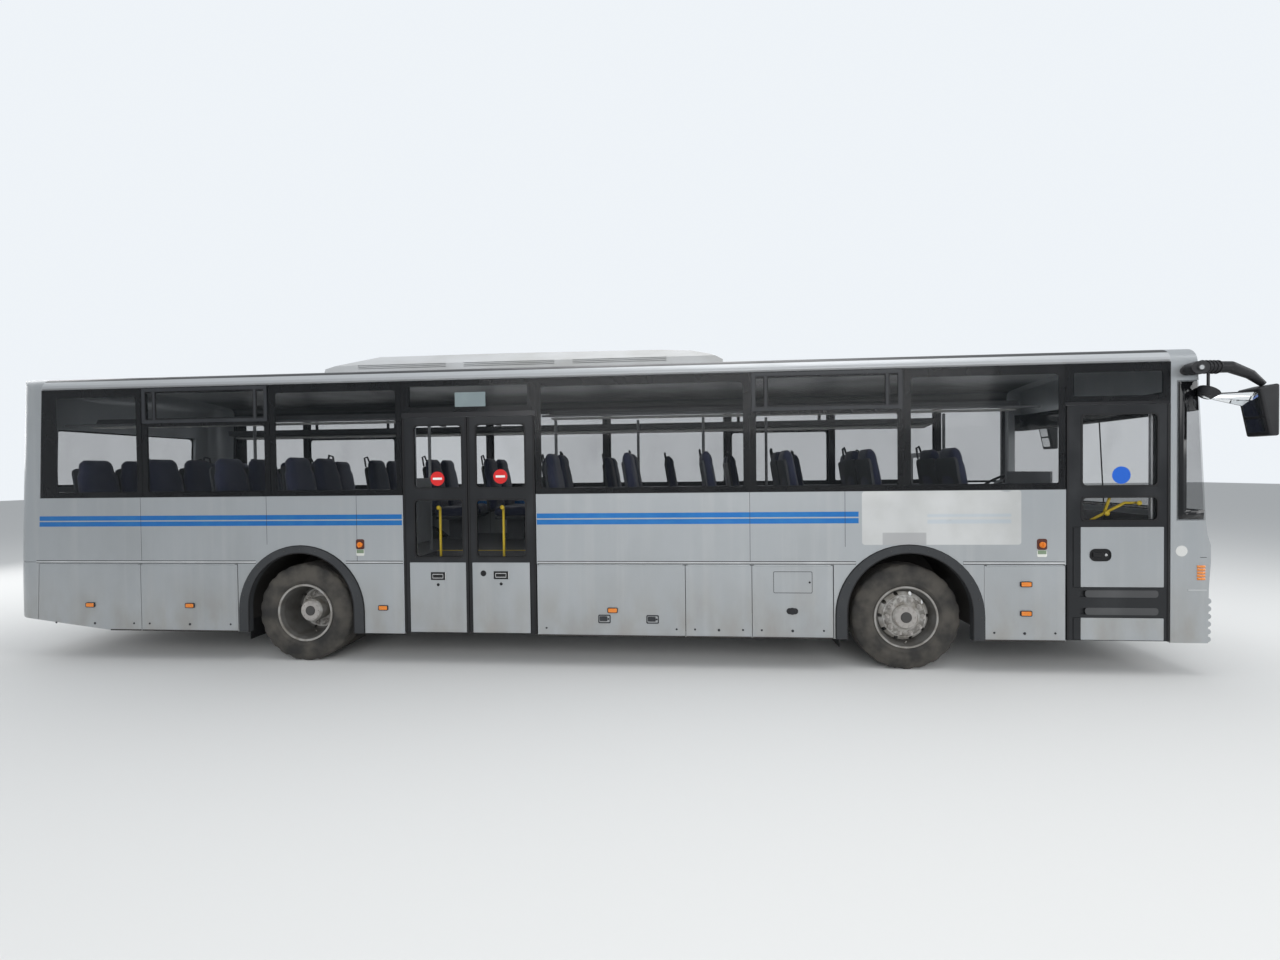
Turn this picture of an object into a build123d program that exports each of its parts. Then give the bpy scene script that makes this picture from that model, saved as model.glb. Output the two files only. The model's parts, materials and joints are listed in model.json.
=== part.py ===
"""Two-door coach bus, 12 m long, in millimetres.

+X points to the nose, +Y to the driver's side, +Z up.  The origin is on the
ground, below the middle of the overall box, mirrors included.
Stations (names ending in _s) are distances ahead of the rear axle.
"""
from build123d import *
from math import cos, radians, sin
import os

os.makedirs("parts", exist_ok=True)

# Body
wheelbase = 6090.0
rear_overhang = 3340.0
front_overhang = 2710.0
body_width = 2550.0
skirt_bottom = 317.0
waist = 1030.0
sill = 1735.0
gutter = 2890.0
cove_radius = 130.0
roof_crown = 65.0
wall = 45.0
nose_crown = 60.0
tail_crown = 20.0
nose_corner = 330.0
tail_corner = 220.0
nose_top_radius = 150.0
tail_top_radius = 250.0
pane = 6.0
seam_gap = 6.0
slack = 0.3
tail_rise_s = -2150.0
tail_rise = 146.0
tail_foot_radius = 110.0

# Stations of the cap seams, doors and window joints
front_cap_s = 8396.0
rear_cap_low_s = -3030.0
rear_cap_high_s = -2895.0
window_joints_right = [-2925.0, -1750.0, -310.0, 1112.0, 2494.0, 4607.0, 6050.0, 7494.0]
window_joints_left = [-2925.0, -1750.0, -310.0, 1112.0, 2860.0, 4607.0, 6050.0, 7494.0]
pillar_width = 74.0
window_rail = 58.0
hopper_height = 370.0
hopper_frame = 36.0
driver_sill = 1560.0

# Doors
front_door_s = [7494.0, 8393.0]
mid_door_s = [1112.0, 2494.0]
door_low = 330.0
front_door_high = 2507.0
mid_door_high = 2515.0
door_thickness = 40.0
door_header = 50.0
door_glass_low = 1099.0
door_glass_mid = 1682.0
door_glass_upper = 1800.0
door_glass_high = 2437.0
front_glass_low = 1441.0
front_glass_mid = 1658.0
front_glass_upper = 1759.0
front_glass_high = 2421.0
column_radius = 25.0
column_inset = 62.0
column_depth = 70.0
arm_radius = 17.0
arm_neck = 165.0
front_arm = 460.0
mid_arm = 330.0
door_swing = 130.0
eye_radius = 24.0
eye_height = 40.0
door_pin = 10.0
lug = 12.0
arm_low = 620.0
arm_high = 2462.0

# Flaps in the skirt
flap_thickness = 30.0
hinge_barrel = 7.0
hinge_line = waist - hinge_barrel - slack - 2.0

# Wheels and axles
tyre_radius = 508.0
tyre_width = 275.0
tyre_bore = 286.0
rim_lip = 300.0
front_track = 2150.0
twin_outer_y = 1100.0
twin_spacing = 320.0
kingpin_y = 900.0
kingpin_radius = 22.0
stub_radius = 45.0
hub_radius = 120.0
drum_radius = 205.0
hand_holes = 10
steering_arm = 200.0
track_rod_z = 345.0
arch_outer = 679.0
arch_inner = 572.0
arch_top = 1215.0
arch_inner_top = 1140.0
flare_proud = 14.0
liner_radius = 612.0
liner_centre_z = 550.0
liner_wall = 10.0
liner_inboard = 556.0

# Structure under the floor
floor_top = 1060.0
floor_thickness = 40.0
rail_y = 430.0
rail_width = 80.0
rail_height = 150.0
bay_floor = 355.0
plate = 15.0
step_run = 225.0

# Inside
seat_pitch = 800.0
seat_width = 440.0
seat_depth = 430.0
seat_height = 430.0
seat_back = 700.0
seat_wall_gap = 25.0

# Roof unit
unit_rear_s = 0.0
unit_front_s = 4390.0
unit_half_width = 850.0
unit_top = 3272.0

# Mirrors
mirror_reach = 300.0

half_width = body_width / 2
nose_s = wheelbase + front_overhang
overall_length = rear_overhang + nose_s + mirror_reach
axle_x = rear_overhang - overall_length / 2
front_x = axle_x + wheelbase
nose_x = axle_x + nose_s
tail_x = axle_x - rear_overhang
cap_x = axle_x + front_cap_s
floor_under = floor_top - floor_thickness
rail_under = floor_under - rail_height
glass_face = half_width - pane
wall_inner = half_width - wall
relief = 14.0
roof_edge = gutter + cove_radius
roof_top = roof_edge + roof_crown
steer_y = front_track / 2
beyond = 1000.0


def block(x0, x1, y0, y1, z0, z1):
    """Box between pairs of limits."""
    size = Box(abs(x1 - x0), abs(y1 - y0), abs(z1 - z0))
    return Pos((x0 + x1) / 2, (y0 + y1) / 2, (z0 + z1) / 2) * size


def side_form(points, y0, y1):
    """Prism with an outline of (x, z) points, from y0 to y1."""
    face = Plane.XZ * Polygon(*points, align=None)
    return Pos(0, y0, 0) * extrude(face, amount=y1 - y0, dir=(0, 1, 0))


def cross_form(points, x0, x1):
    """Prism with an outline of (y, z) points, from x0 to x1."""
    face = Plane.YZ * Polygon(*points, align=None)
    return Pos(x0, 0, 0) * extrude(face, amount=x1 - x0, dir=(1, 0, 0))


def rod(x, y, z, radius, length, axis="z"):
    """Cylinder that starts at a point and runs along an axis."""
    turn = {"x": Rot(0, 90, 0), "y": Rot(-90, 0, 0), "z": Rot(0, 0, 0)}[axis]
    base = Cylinder(radius, length, align=(Align.CENTER, Align.CENTER, Align.MIN))
    return Pos(x, y, z) * turn * base


def flip(shape):
    """The same piece on the other side of the bus."""
    return mirror(shape, about=Plane.XZ)


def arch_form(x, radius, top, y0, y1, low=skirt_bottom - 50):
    """Wheel-arch prism: a half round on straight legs."""
    centre = top - radius
    legs = block(x - radius, x + radius, y0, y1, low, centre)
    crown = rod(x, y0, centre, radius, y1 - y0, "y")
    crown = crown & block(x - radius - 1, x + radius + 1, y0 - 1, y1 + 1, centre, top + 1)
    return legs + crown


def solids_of(shape):
    """Every solid in a result, whatever its kind."""
    return list(shape.solids())


def save(node, *shapes):
    """Write one node's solids to its own file."""
    solids = []
    for shape in shapes:
        solids.extend(solids_of(shape))
    export_step(Compound(children=solids), f"parts/{node}.step")


# Outer body, as lofted plan sections under a roof section
# Columns: height, setback of the nose, setback of the tail
plan_levels = [
    (100.0, 26.0, 0.0),
    (814.0, 18.0, 4.0),
    (1078.0, 0.0, 12.0),
    (1215.0, 2.0, 17.0),
    (1307.0, 30.0, 21.0),
    (1440.0, 46.0, 27.0),
    (2700.0, 110.0, 90.0),
    (3200.0, 137.0, 115.0),
]
nose_column = 1
tail_column = 2


def setback(level, column):
    """How far the nose or the tail stands back at a height."""
    for low, high in zip(plan_levels, plan_levels[1:]):
        if low[0] <= level <= high[0]:
            share = (level - low[0]) / (high[0] - low[0])
            return low[column] + share * (high[column] - low[column])


def tail_at(level):
    """Place of the tail's middle at a height."""
    return tail_x + setback(level, tail_column)


def plan_section(level, nose_back, tail_back, inset):
    """Outline of the body at one height, with rounded corners."""
    y = half_width - inset
    front = nose_x - nose_back - inset
    back = tail_x + tail_back + inset
    side_front = front - nose_crown
    side_back = back + tail_crown
    r = nose_corner - inset
    q = tail_corner - inset
    with BuildSketch(Plane.XY.offset(level)) as sketch:
        with BuildLine():
            Line((side_back, -y), (side_front, -y))
            ThreePointArc((side_front, -y), (front, 0), (side_front, y))
            Line((side_front, y), (side_back, y))
            ThreePointArc((side_back, y), (back, 0), (side_back, -y))
        make_face()
        corners = sketch.vertices().sort_by(Axis.X)
        fillet(corners[:2], q)
        fillet(corners[-2:], r)
    return sketch.sketch.face()


def roof_section(inset, low):
    """Cross-section of the body with its coves and crown."""
    y = half_width - inset
    edge = half_width - cove_radius
    r = cove_radius - inset
    k = r * sin(radians(45))
    with BuildSketch(Plane.YZ) as sketch:
        with BuildLine():
            Line((-y, low), (y, low))
            Line((y, low), (y, gutter))
            ThreePointArc((y, gutter), (edge + k, gutter + k), (edge, gutter + r))
            ThreePointArc((edge, gutter + r), (0, roof_top - inset), (-edge, gutter + r))
            ThreePointArc((-edge, gutter + r), (-edge - k, gutter + k), (-y, gutter))
            Line((-y, gutter), (-y, low))
        make_face()
    return sketch.sketch.face()


def roof_profile(inset, low):
    """Side view of the body, rounded at the roof's ends, its tail cut up from the ground."""
    top = roof_top - inset
    lean = 25.0
    level = plan_levels[-2][0]
    nose_high = nose_x - plan_levels[-1][nose_column] - inset + 1
    tail_high = tail_x + plan_levels[-1][tail_column] + inset - 1
    foot = low + tail_rise
    with BuildSketch(Plane.XZ) as sketch:
        with BuildLine():
            Polyline(
                (tail_x, foot),
                (axle_x + tail_rise_s, low),
                (nose_x + beyond, low),
                (nose_x + beyond, level),
                (nose_high + lean + 1, level),
                (nose_high, top),
                (tail_high, top),
                (tail_high - lean, level),
                (tail_x - 1, level),
                (tail_x, foot),
            )
        make_face()
        corners = sketch.vertices()
        ends = corners.filter_by_position(Axis.Y, top - 1, top + 1).sort_by(Axis.X)
        foot_corner = corners.filter_by_position(Axis.Y, foot - 1, foot + 1)
        fillet(ends[:1], tail_top_radius - inset)
        fillet(ends[-1:], nose_top_radius - inset)
        fillet(foot_corner, tail_foot_radius)
    return sketch.sketch.face()


def body_form(inset, low=skirt_bottom):
    """Solid body, smaller all round by the inset."""
    sections = [plan_section(z, a, b, inset) for z, a, b in plan_levels]
    form = loft(sections, ruled=True)
    roof = Pos(tail_x - 500, 0, 0) * extrude(
        roof_section(inset, low), amount=nose_x - tail_x + 1000, dir=(1, 0, 0))
    side = Pos(0, -half_width - 100, 0) * extrude(
        roof_profile(inset, low), amount=body_width + 200, dir=(0, 1, 0))
    return form & roof & side


def front_of(x):
    """Everything ahead of a station."""
    return block(x, nose_x + beyond, -2000, 2000, -100, 4000)


def seam_wedge(grow=0.0):
    """Everything behind the slanted seam of the rear cap."""
    low = axle_x + rear_cap_low_s + grow
    high = axle_x + rear_cap_high_s + grow
    return side_form([(low, 0), (high, gutter), (high, 4000), (tail_x - beyond, 4000),
                      (tail_x - beyond, 0)], -2000, 2000)


outer = body_form(0.0)
inner = body_form(wall, low=150.0)
glass_inner = body_form(pane + 1, low=150.0)
relief_inner = body_form(relief, low=150.0)
shell = outer - inner
relief_skin = outer - relief_inner
rise_x = axle_x + tail_rise_s
under_tail = side_form([(rise_x, skirt_bottom), (tail_x - 100, skirt_bottom + tail_rise * 1.08),
                        (tail_x - 100, 0), (rise_x, 0)], -2000, 2000)


# Front mask, windscreen and bumper
mask_low = 814.0
screen_low = 1440.0
screen_high = 2715.0
screen_wrap_s = 8446.0
screen_flange = 55.0
rib_count = 6
rib_first = 352.0
rib_pitch = 70.0
rib_radius = 27.0
rib_start_s = 8530.0
plate_half_width = 260.0
plate_z = [395.0, 505.0]
slot_half_width = 420.0
slot_levels = [905.0, 960.0, 1015.0]
slot_height = 26.0
fog_lamp_y = 830.0
fog_lamp_z = 562.0
fog_lamp_radius = 48.0


def screen_zone(shrink):
    """Block that takes in the windscreen."""
    x = axle_x + screen_wrap_s + shrink
    return block(x, nose_x + 100, -half_width - 10, half_width + 10,
                 screen_low + shrink, screen_high - shrink)


# Headlamp seen from ahead: (y, z) corners, its outer end swept up round the corner
head_lamp_outline = [(-500, 850), (-1090, 858), (-1225, 900), (-1225, 1062), (-1060, 1050), (-560, 985)]
head_lamp_rear = 330.0


def head_lamp_zone():
    """Prism that cuts a headlamp out of the mask."""
    return cross_form(head_lamp_outline, nose_x - head_lamp_rear, nose_x + 50)


front_shell = shell & front_of(cap_x)
skin = outer - glass_inner
screen = skin & screen_zone(0.0)
mask = front_shell & block(tail_x, nose_x + 50, -2000, 2000, mask_low, 4000)
mask = mask - screen_zone(screen_flange) - screen
bumper = front_shell & block(tail_x, nose_x + 50, -2000, 2000, 0, mask_low)
head_lamps = []
for mirrored in (False, True):
    zone = head_lamp_zone()
    if mirrored:
        zone = flip(zone)
    head_lamps.append(front_shell & zone)
    mask = mask - zone


def bumper_rib(level):
    """Rounded rib round the bumper."""
    plan = plan_section(level, setback(level, nose_column), 0.0, 3.0)
    path = plan.outer_wire()
    front_edges = [e for e in path.edges() if e.center().X > nose_x - nose_corner - 150]
    wire = Wire(front_edges)
    start = wire @ 0
    profile = Plane(origin=start, x_dir=(0, 0, 1), z_dir=wire % 0) * Circle(rib_radius)
    return sweep(profile, path=wire)


for n in range(rib_count):
    bumper = bumper + (bumper_rib(rib_first + n * rib_pitch) & front_of(axle_x + rib_start_s))
plate_pocket = block(nose_x - nose_corner, nose_x + beyond, -plate_half_width, plate_half_width, *plate_z)
bumper = bumper - (plate_pocket - relief_inner)
for level in slot_levels:
    slot = block(nose_x - nose_corner, nose_x + beyond, -slot_half_width, slot_half_width,
                 level - slot_height / 2, level + slot_height / 2)
    mask = mask - (slot - relief_inner)
fog_lamps = []
for y in (-fog_lamp_y, fog_lamp_y):
    barrel = rod(nose_x - nose_corner, y, fog_lamp_z, fog_lamp_radius, nose_corner + 60, "x")
    fog_lamps.append(front_shell & barrel)
    bumper = bumper - barrel
save("front_mask", mask)
save("windscreen", screen)
save("front_bumper", bumper)

# Rear mask with its window, and the engine lid
rear_window_y = 930.0
rear_window_z = [1800.0, 2560.0]
lid_y = 960.0
lid_z = [640.0, 1500.0]
lid_axis_depth = 3.0
lid_knuckles = [-600.0, 600.0]
knuckle_length = 140.0
knuckle_radius = 8.0
tail_lamp_y = [1010.0, 1150.0]
tail_lamp_z = [700.0, 1150.0]
tail_split = 1046.0
lid_slot_half_width = 700.0
lid_slots = [1020.0, 1075.0, 1130.0, 1185.0, 1240.0, 1295.0, 1350.0]
lid_slot_height = 30.0

lid_axis_x = tail_at(lid_z[1]) + lid_axis_depth
rear_shell = shell & seam_wedge()
lid_opening = block(tail_x - 100, tail_x + 500, -lid_y, lid_y,
                    lid_z[0], lid_z[1] + knuckle_radius + slack)
window_opening = block(tail_x - 100, tail_x + 500, -rear_window_y, rear_window_y, *rear_window_z)
rear_glass = (outer - glass_inner) & window_opening
window_clear = block(tail_x - 100, tail_x + 500, -rear_window_y + 50, rear_window_y - 50,
                     rear_window_z[0] + 50, rear_window_z[1] - 50)
rear_body = rear_shell - lid_opening - rear_glass - window_clear
tail_lamps = []
for mirrored in (False, True):
    zone = block(tail_x - 60, tail_x + 330, -tail_lamp_y[1], -tail_lamp_y[0], *tail_lamp_z)
    if mirrored:
        zone = flip(zone)
    tail_lamps.append(rear_shell & zone)
    rear_body = rear_body - zone
split = block(tail_x - beyond, cap_x, -2000, 2000, tail_split - seam_gap / 2, tail_split + seam_gap / 2)
rear_body = rear_body - (split & relief_skin)
save("rear_mask", rear_body)

lid_skin = outer - body_form(flap_thickness, low=150.0)
lid_zone = block(tail_x - 100, tail_x + 330, -lid_y + seam_gap, lid_y - seam_gap,
                 lid_z[0] + seam_gap, lid_z[1])
lid = lid_skin & lid_zone
for level in lid_slots:
    slot = block(tail_x - 100, tail_x + 330, -lid_slot_half_width, lid_slot_half_width,
                 level - lid_slot_height / 2, level + lid_slot_height / 2)
    lid = lid - (slot & relief_skin)
for y in lid_knuckles:
    lid = lid + rod(lid_axis_x, y - knuckle_length / 2, lid_z[1], knuckle_radius, knuckle_length, "y")
save("engine_lid", lid)

# Side walls
def flare_cut(x):
    """What a wheel arch takes out of a side wall."""
    return arch_form(x, arch_outer, arch_top, -half_width - 100, -wall_inner + 1)


def window_cuts(joints, skip=()):
    """Clear openings between the window pillars."""
    cuts = []
    for n, (a, b) in enumerate(zip(joints, joints[1:])):
        if n in skip:
            continue
        cuts.append(block(axle_x + a + pillar_width / 2, axle_x + b - pillar_width / 2,
                          -half_width - 10, -wall_inner + 1, sill + window_rail, gutter - window_rail))
    return cuts


def wall_blank():
    """Side wall before its openings, with the glass band set back."""
    low = axle_x + rear_cap_low_s
    high = axle_x + rear_cap_high_s
    low_x = low + (high - low) * (skirt_bottom / gutter)
    outline = [(low_x, skirt_bottom), (cap_x, skirt_bottom), (cap_x, gutter), (high, gutter)]
    blank = side_form(outline, -half_width, -wall_inner) - under_tail
    band = block(tail_x, cap_x + 1, -half_width - 10, -glass_face, sill, gutter + 1)
    return blank - band


# Columns: name, rear end, front end of each flap, as stations
flaps_right = [
    ("engine_flap_right", -3020.0, -1797.0),
    ("service_flap_right", -1797.0, -699.0),
    ("luggage_flap_right_rear", 2494.0, 3973.0),
    ("luggage_flap_right_front", 3973.0, 4617.0),
    ("fuel_flap", 4617.0, 5386.0),
    ("battery_flap", 6768.0, 7490.0),
]
flaps_left = [
    ("engine_flap_left", -3020.0, -699.0),
    ("luggage_flap_left_rear", 700.0, 2494.0),
    ("luggage_flap_left_mid", 2494.0, 3973.0),
    ("luggage_flap_left_front", 3973.0, 5386.0),
]


radiator_s = [-2600.0, -1350.0]
radiator_slots = [560.0, 620.0, 680.0, 740.0, 800.0, 860.0, 920.0]
radiator_slot_height = 34.0


def flap_cuts(table):
    """Skirt openings that the flaps close, the wall's lower edge at their hinge line."""
    cuts = []
    for name, a, b in table:
        first = axle_x + a
        if a == table[0][1]:
            first = tail_x
        cuts.append(block(first, axle_x + b + seam_gap, -half_width - 10, -wall_inner + 1,
                          0, hinge_line + hinge_barrel + slack))
    return cuts


mid_door_bay = window_joints_right.index(mid_door_s[0])
wall_right = wall_blank()
for x in (axle_x, front_x):
    wall_right = wall_right - flare_cut(x)
for cut in window_cuts(window_joints_right, skip=(mid_door_bay,)) + flap_cuts(flaps_right):
    wall_right = wall_right - cut
mid_a, mid_b = [axle_x + s for s in mid_door_s]
door_a, door_b = [axle_x + s for s in front_door_s]
wall_right = wall_right - block(mid_a, mid_b, -half_width - 10, -wall_inner + 1, 0, mid_door_high + 4)
wall_right = wall_right - block(mid_a + pillar_width, mid_b - pillar_width, -half_width - 10,
                                -wall_inner + 1, mid_door_high + 4 + door_header, gutter - window_rail)
wall_right = wall_right - block(door_a, cap_x + 1, -half_width - 10, -wall_inner + 1,
                                0, front_door_high + 4)
wall_right = wall_right - block(door_a + pillar_width, cap_x - 40, -half_width - 10,
                                -wall_inner + 1, front_door_high + 4 + door_header, gutter - window_rail)

wall_left = wall_blank()
for x in (axle_x, front_x):
    wall_left = wall_left - flare_cut(x)
for cut in window_cuts(window_joints_left) + flap_cuts(flaps_left):
    wall_left = wall_left - cut
driver_window = block(door_a + pillar_width / 2, cap_x - 60, -half_width - 10, -wall_inner + 1,
                      driver_sill, gutter - window_rail)
wall_left = wall_left - driver_window
wall_left = flip(wall_left)
save("side_wall_left", wall_left)

# Flaps
def flap(a, b):
    """Skirt panel with its hinge barrel along the top."""
    x0 = axle_x + a + seam_gap / 2
    x1 = axle_x + b - seam_gap / 2
    panel = block(x0, x1, -half_width, -half_width + flap_thickness, skirt_bottom, hinge_line)
    barrel = rod(x0 + 20, -half_width + 3, hinge_line, hinge_barrel, x1 - x0 - 40, "x")
    return panel + barrel


def tail_flap(a, b):
    """Rearmost flap, cut along the rear cap's slanted seam."""
    piece = flap(a, b)
    return piece - seam_wedge(grow=seam_gap) - under_tail


for name, a, b in flaps_right:
    save(name, tail_flap(a, b))
for name, a, b in flaps_left:
    piece = tail_flap(a, b)
    if name == "engine_flap_left":
        for level in radiator_slots:
            piece = piece - block(axle_x + radiator_s[0], axle_x + radiator_s[1], -half_width - 5,
                                  -half_width + relief, level - radiator_slot_height / 2,
                                  level + radiator_slot_height / 2)
    save(name, flip(piece))

# Roof
roof_length = cap_x - axle_x - rear_cap_high_s
roof_outer = extrude(roof_section(0.0, gutter - 50), amount=roof_length, dir=(1, 0, 0))
roof_outer = roof_outer - block(-1, roof_length + 1, -2000, 2000, 0, gutter)
roof_inner = extrude(roof_section(wall, gutter - 50), amount=roof_length, dir=(1, 0, 0))
roof = Pos(axle_x + rear_cap_high_s, 0, 0) * (roof_outer - roof_inner)
hatch_s = [-1500.0, 6300.0]
hatch_size = 620.0
hatch_lid = 40.0
for s in hatch_s:
    x = axle_x + s
    roof = roof + block(x - hatch_size / 2, x + hatch_size / 2, -hatch_size / 2, hatch_size / 2,
                        roof_top - wall, roof_top + hatch_lid)
save("roof_shell", roof)

# Roof air unit
unit_a = axle_x + unit_rear_s
unit_b = axle_x + unit_front_s
unit_base = roof_edge + 12
unit_outline = [
    (unit_a, unit_base),
    (unit_a + 20, 3118.0),
    (unit_a + 300, 3196.0),
    (unit_a + 575, unit_top - 4),
    (unit_a + 1980, unit_top),
    (unit_a + 3740, unit_top - 18),
    (unit_a + 4060, unit_top - 40),
    (unit_b - 120, 3172.0),
    (unit_b, 3110.0),
    (unit_b, unit_base),
]
unit = side_form(unit_outline, -unit_half_width, unit_half_width)
unit_cross = [
    (-unit_half_width, unit_base),
    (-unit_half_width, unit_top - 120),
    (-unit_half_width + 150, unit_top + 2),
    (unit_half_width - 150, unit_top + 2),
    (unit_half_width, unit_top - 120),
    (unit_half_width, unit_base),
]
unit = unit & cross_form(unit_cross, unit_a - 10, unit_b + 10)
unit = unit - roof_outer.moved(Location((axle_x + rear_cap_high_s, 0, 0)))
fan_radius = 210.0
fan_depth = 60.0
fan_hub = 60.0
fan_rows = [900.0, 1500.0, 2100.0, 2700.0]
fan_y = 320.0
for s in fan_rows:
    for y in (-fan_y, fan_y):
        unit = unit - rod(unit_a + s, y, unit_top - fan_depth, fan_radius, fan_depth + 40)
        unit = unit + rod(unit_a + s, y, unit_top - fan_depth - 10, fan_hub, fan_depth - 10)
unit_slot_height = 9.0
unit_slots = [3108.0, 3126.0, 3144.0]
for level in unit_slots:
    for s in (900.0, 2100.0, 3300.0):
        slot = block(unit_a + s - 500, unit_a + s + 500, -unit_half_width - 5, -unit_half_width + relief,
                     level, level + unit_slot_height)
        unit = unit - slot - flip(slot)
save("roof_air_unit", unit)

# Glass in the sides and tail
def panes(joints, low=sill):
    """Bonded panes, one between each pair of window joints."""
    out = []
    for a, b in zip(joints, joints[1:]):
        sheet = block(axle_x + a + 3, axle_x + b - 3, -half_width, -glass_face, low + 3, gutter - 3)
        out.append(sheet - seam_wedge(grow=3.0))
    return out


hopper_right = [1, 5]
hopper_left = [1, 5]
glass_right = panes(window_joints_right)
header_pane = block(mid_a + 3, mid_b - 3, -half_width, -glass_face,
                    mid_door_high + 4 + door_header, gutter - 3)
del glass_right[mid_door_bay]
transom = block(door_a + 3, cap_x - 3, -half_width, -glass_face,
                front_door_high + 4 + door_header / 2, gutter - 3)
glass_left = [flip(p) for p in panes(window_joints_left)]
driver_pane = flip(block(door_a + 3, cap_x - 3, -half_width, -glass_face, sill + 3, gutter - 3))


def hopper(a, b, side):
    """Opening top of a window: the hole in the pane, its frame and its own glass."""
    x0 = axle_x + a + 20
    x1 = axle_x + b - 20
    z1 = gutter - 8
    z0 = z1 - hopper_height
    hole = block(x0, x1, -half_width - 5, -glass_face, z0, z1)
    rim = block(x0, x1, -half_width - 4, -glass_face, z0, z1)
    rim = rim - block(x0 + hopper_frame, x1 - hopper_frame, -half_width - 5, -glass_face + 1,
                      z0 + hopper_frame, z1 - hopper_frame)
    light = block(x0 + hopper_frame, x1 - hopper_frame, -half_width + 1, -glass_face,
                  z0 + hopper_frame, z1 - hopper_frame)
    if side == "left":
        return flip(hole), flip(rim), flip(light)
    return hole, rim, light


frames = []
glass = [rear_glass, header_pane, transom, driver_pane]
for side, joints, group, chosen in (
        ("right", window_joints_right, glass_right, hopper_right),
        ("left", window_joints_left, glass_left, hopper_left)):
    bays = list(zip(joints, joints[1:]))
    for n in chosen:
        hole, rim, light = hopper(*bays[n], side)
        group = [g - hole for g in group]
        frames.append(rim)
        glass.append(light)
    glass.extend(group)
save("body_glass", *glass)
save("hopper_frames", *frames)

# Wheel-arch flares and liners
flares = []
for x in (axle_x, front_x):
    ring = arch_form(x, arch_outer, arch_top, -half_width - flare_proud, -wall_inner, skirt_bottom)
    ring = ring - arch_form(x, arch_inner, arch_inner_top, -half_width - 100, -wall_inner + 5)
    flares.append(ring)
    flares.append(flip(ring))
save("arch_flares", *flares)

liners = []
for x in (axle_x, front_x):
    full = arch_form(x, liner_radius + liner_wall, liner_centre_z + liner_radius + liner_wall,
                     -wall_inner, -liner_inboard, liner_centre_z - 120)
    hollow = arch_form(x, liner_radius, liner_centre_z + liner_radius, -wall_inner - 5,
                       -liner_inboard - liner_wall, liner_centre_z - 150)
    hollow = hollow + block(x - liner_radius, x + liner_radius, -liner_inboard - liner_wall - 1,
                            -liner_inboard + 5, 0, liner_centre_z + 150)
    liner = full - hollow
    liners.append(liner)
    liners.append(flip(liner))
save("wheel_housings", *liners)


# Underframe: rails, cross members, tanks, jack pads and exhaust, with the towing lugs
rail_a = tail_x + 100
rail_b = nose_x - 115
cross_low = rail_under + 80
rail = block(rail_a, rail_b, rail_y - rail_width / 2, rail_y + rail_width / 2,
             rail_under, cross_low - slack)
frame = [rail, flip(rail)]
cross_s = [-2950.0, -1250.0, -760.0, 760.0, 1020.0, 2540.0, 4660.0, 5390.0, 6790.0, 7440.0, 8420.0]
cross_width = 60.0
for s in cross_s:
    x = axle_x + s
    reach = wall_inner - 10
    if abs(s) < 700 or s > 8000:
        reach = rail_y
    frame.append(block(x - cross_width / 2, x + cross_width / 2, -reach, reach, cross_low, floor_under))

tow_z = 420.0
tow_pin = 16.0
tow_eye = 60.0
tow_half_height = 22.0
tow_half_web = 30.0
tow_web = [70.0, 130.0]
tow_lugs = []
# Columns: place of the towing eyes, direction that they point
tow_ends = [(nose_x - 345.0, 1), (tail_x + 150.0, -1)]
for x, sign in tow_ends:
    for y in (-rail_y, rail_y):
        tongue = block(x - sign * tow_web[1], x, y - tow_eye, y + tow_eye,
                       tow_z - tow_half_height, tow_z + tow_half_height)
        tongue = tongue + rod(x, y, tow_z - tow_half_height, tow_eye, 2 * tow_half_height)
        web = block(x - sign * tow_web[1], x - sign * tow_web[0], y - tow_half_web, y + tow_half_web,
                    tow_z, rail_under)
        bore = rod(x, y, tow_z - 2 * tow_half_height, tow_pin, 4 * tow_half_height)
        tow_lugs.append(tongue + web - bore)
save("towing_lugs", *tow_lugs)
jack_low = 300.0
jack_half = 65.0
jack_s = [-1250.0, 7440.0]
air_tank_s = [6900.0, 7180.0]
for s in jack_s:
    for y in (-rail_y, rail_y):
        frame.append(block(axle_x + s - jack_half, axle_x + s + jack_half, y - jack_half, y + jack_half,
                           jack_low, rail_under - slack))

tank_a = axle_x + 4690
tank_b = axle_x + 5340
tank_y = [-1190.0, -500.0]
tank_z = [400.0, rail_under - 5]
tank = block(tank_a, tank_b, *tank_y, *tank_z)
tank = fillet(tank.edges().filter_by(Axis.X), 70)
tank_hanger = block(tank_a, tank_b, tank_y[0] + 40, -rail_y - rail_width / 2 - slack,
                    tank_z[1], cross_low - slack)
air_tank_radius = 110.0
for s in air_tank_s:
    frame.append(rod(axle_x + s, -rail_y + 20, rail_under - air_tank_radius - slack, air_tank_radius,
                     2 * rail_y - 40, "y"))
exhaust_y = 720.0
silencer_z = 640.0
silencer_radius = 125.0
silencer_a = axle_x - 1900
silencer_b = axle_x - 1150
pipe_radius = 42.0
pipe_end = axle_x - 2950
pipe_low = 400.0
exhaust = rod(silencer_a, exhaust_y, silencer_z, silencer_radius, silencer_b - silencer_a, "x")
exhaust = exhaust + rod(pipe_end, exhaust_y, silencer_z, pipe_radius, silencer_a - pipe_end, "x")
exhaust = exhaust + Pos(pipe_end, exhaust_y, silencer_z) * Sphere(pipe_radius)
exhaust = exhaust + rod(pipe_end, exhaust_y, pipe_low, pipe_radius, silencer_z - pipe_low)
for s in (cross_s[0], cross_s[1]):
    exhaust = exhaust + block(axle_x + s - 12, axle_x + s + 12, exhaust_y - 20, exhaust_y + 20,
                              silencer_z, cross_low - slack)
save("underframe", *frame, exhaust, tank + tank_hanger)

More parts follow.
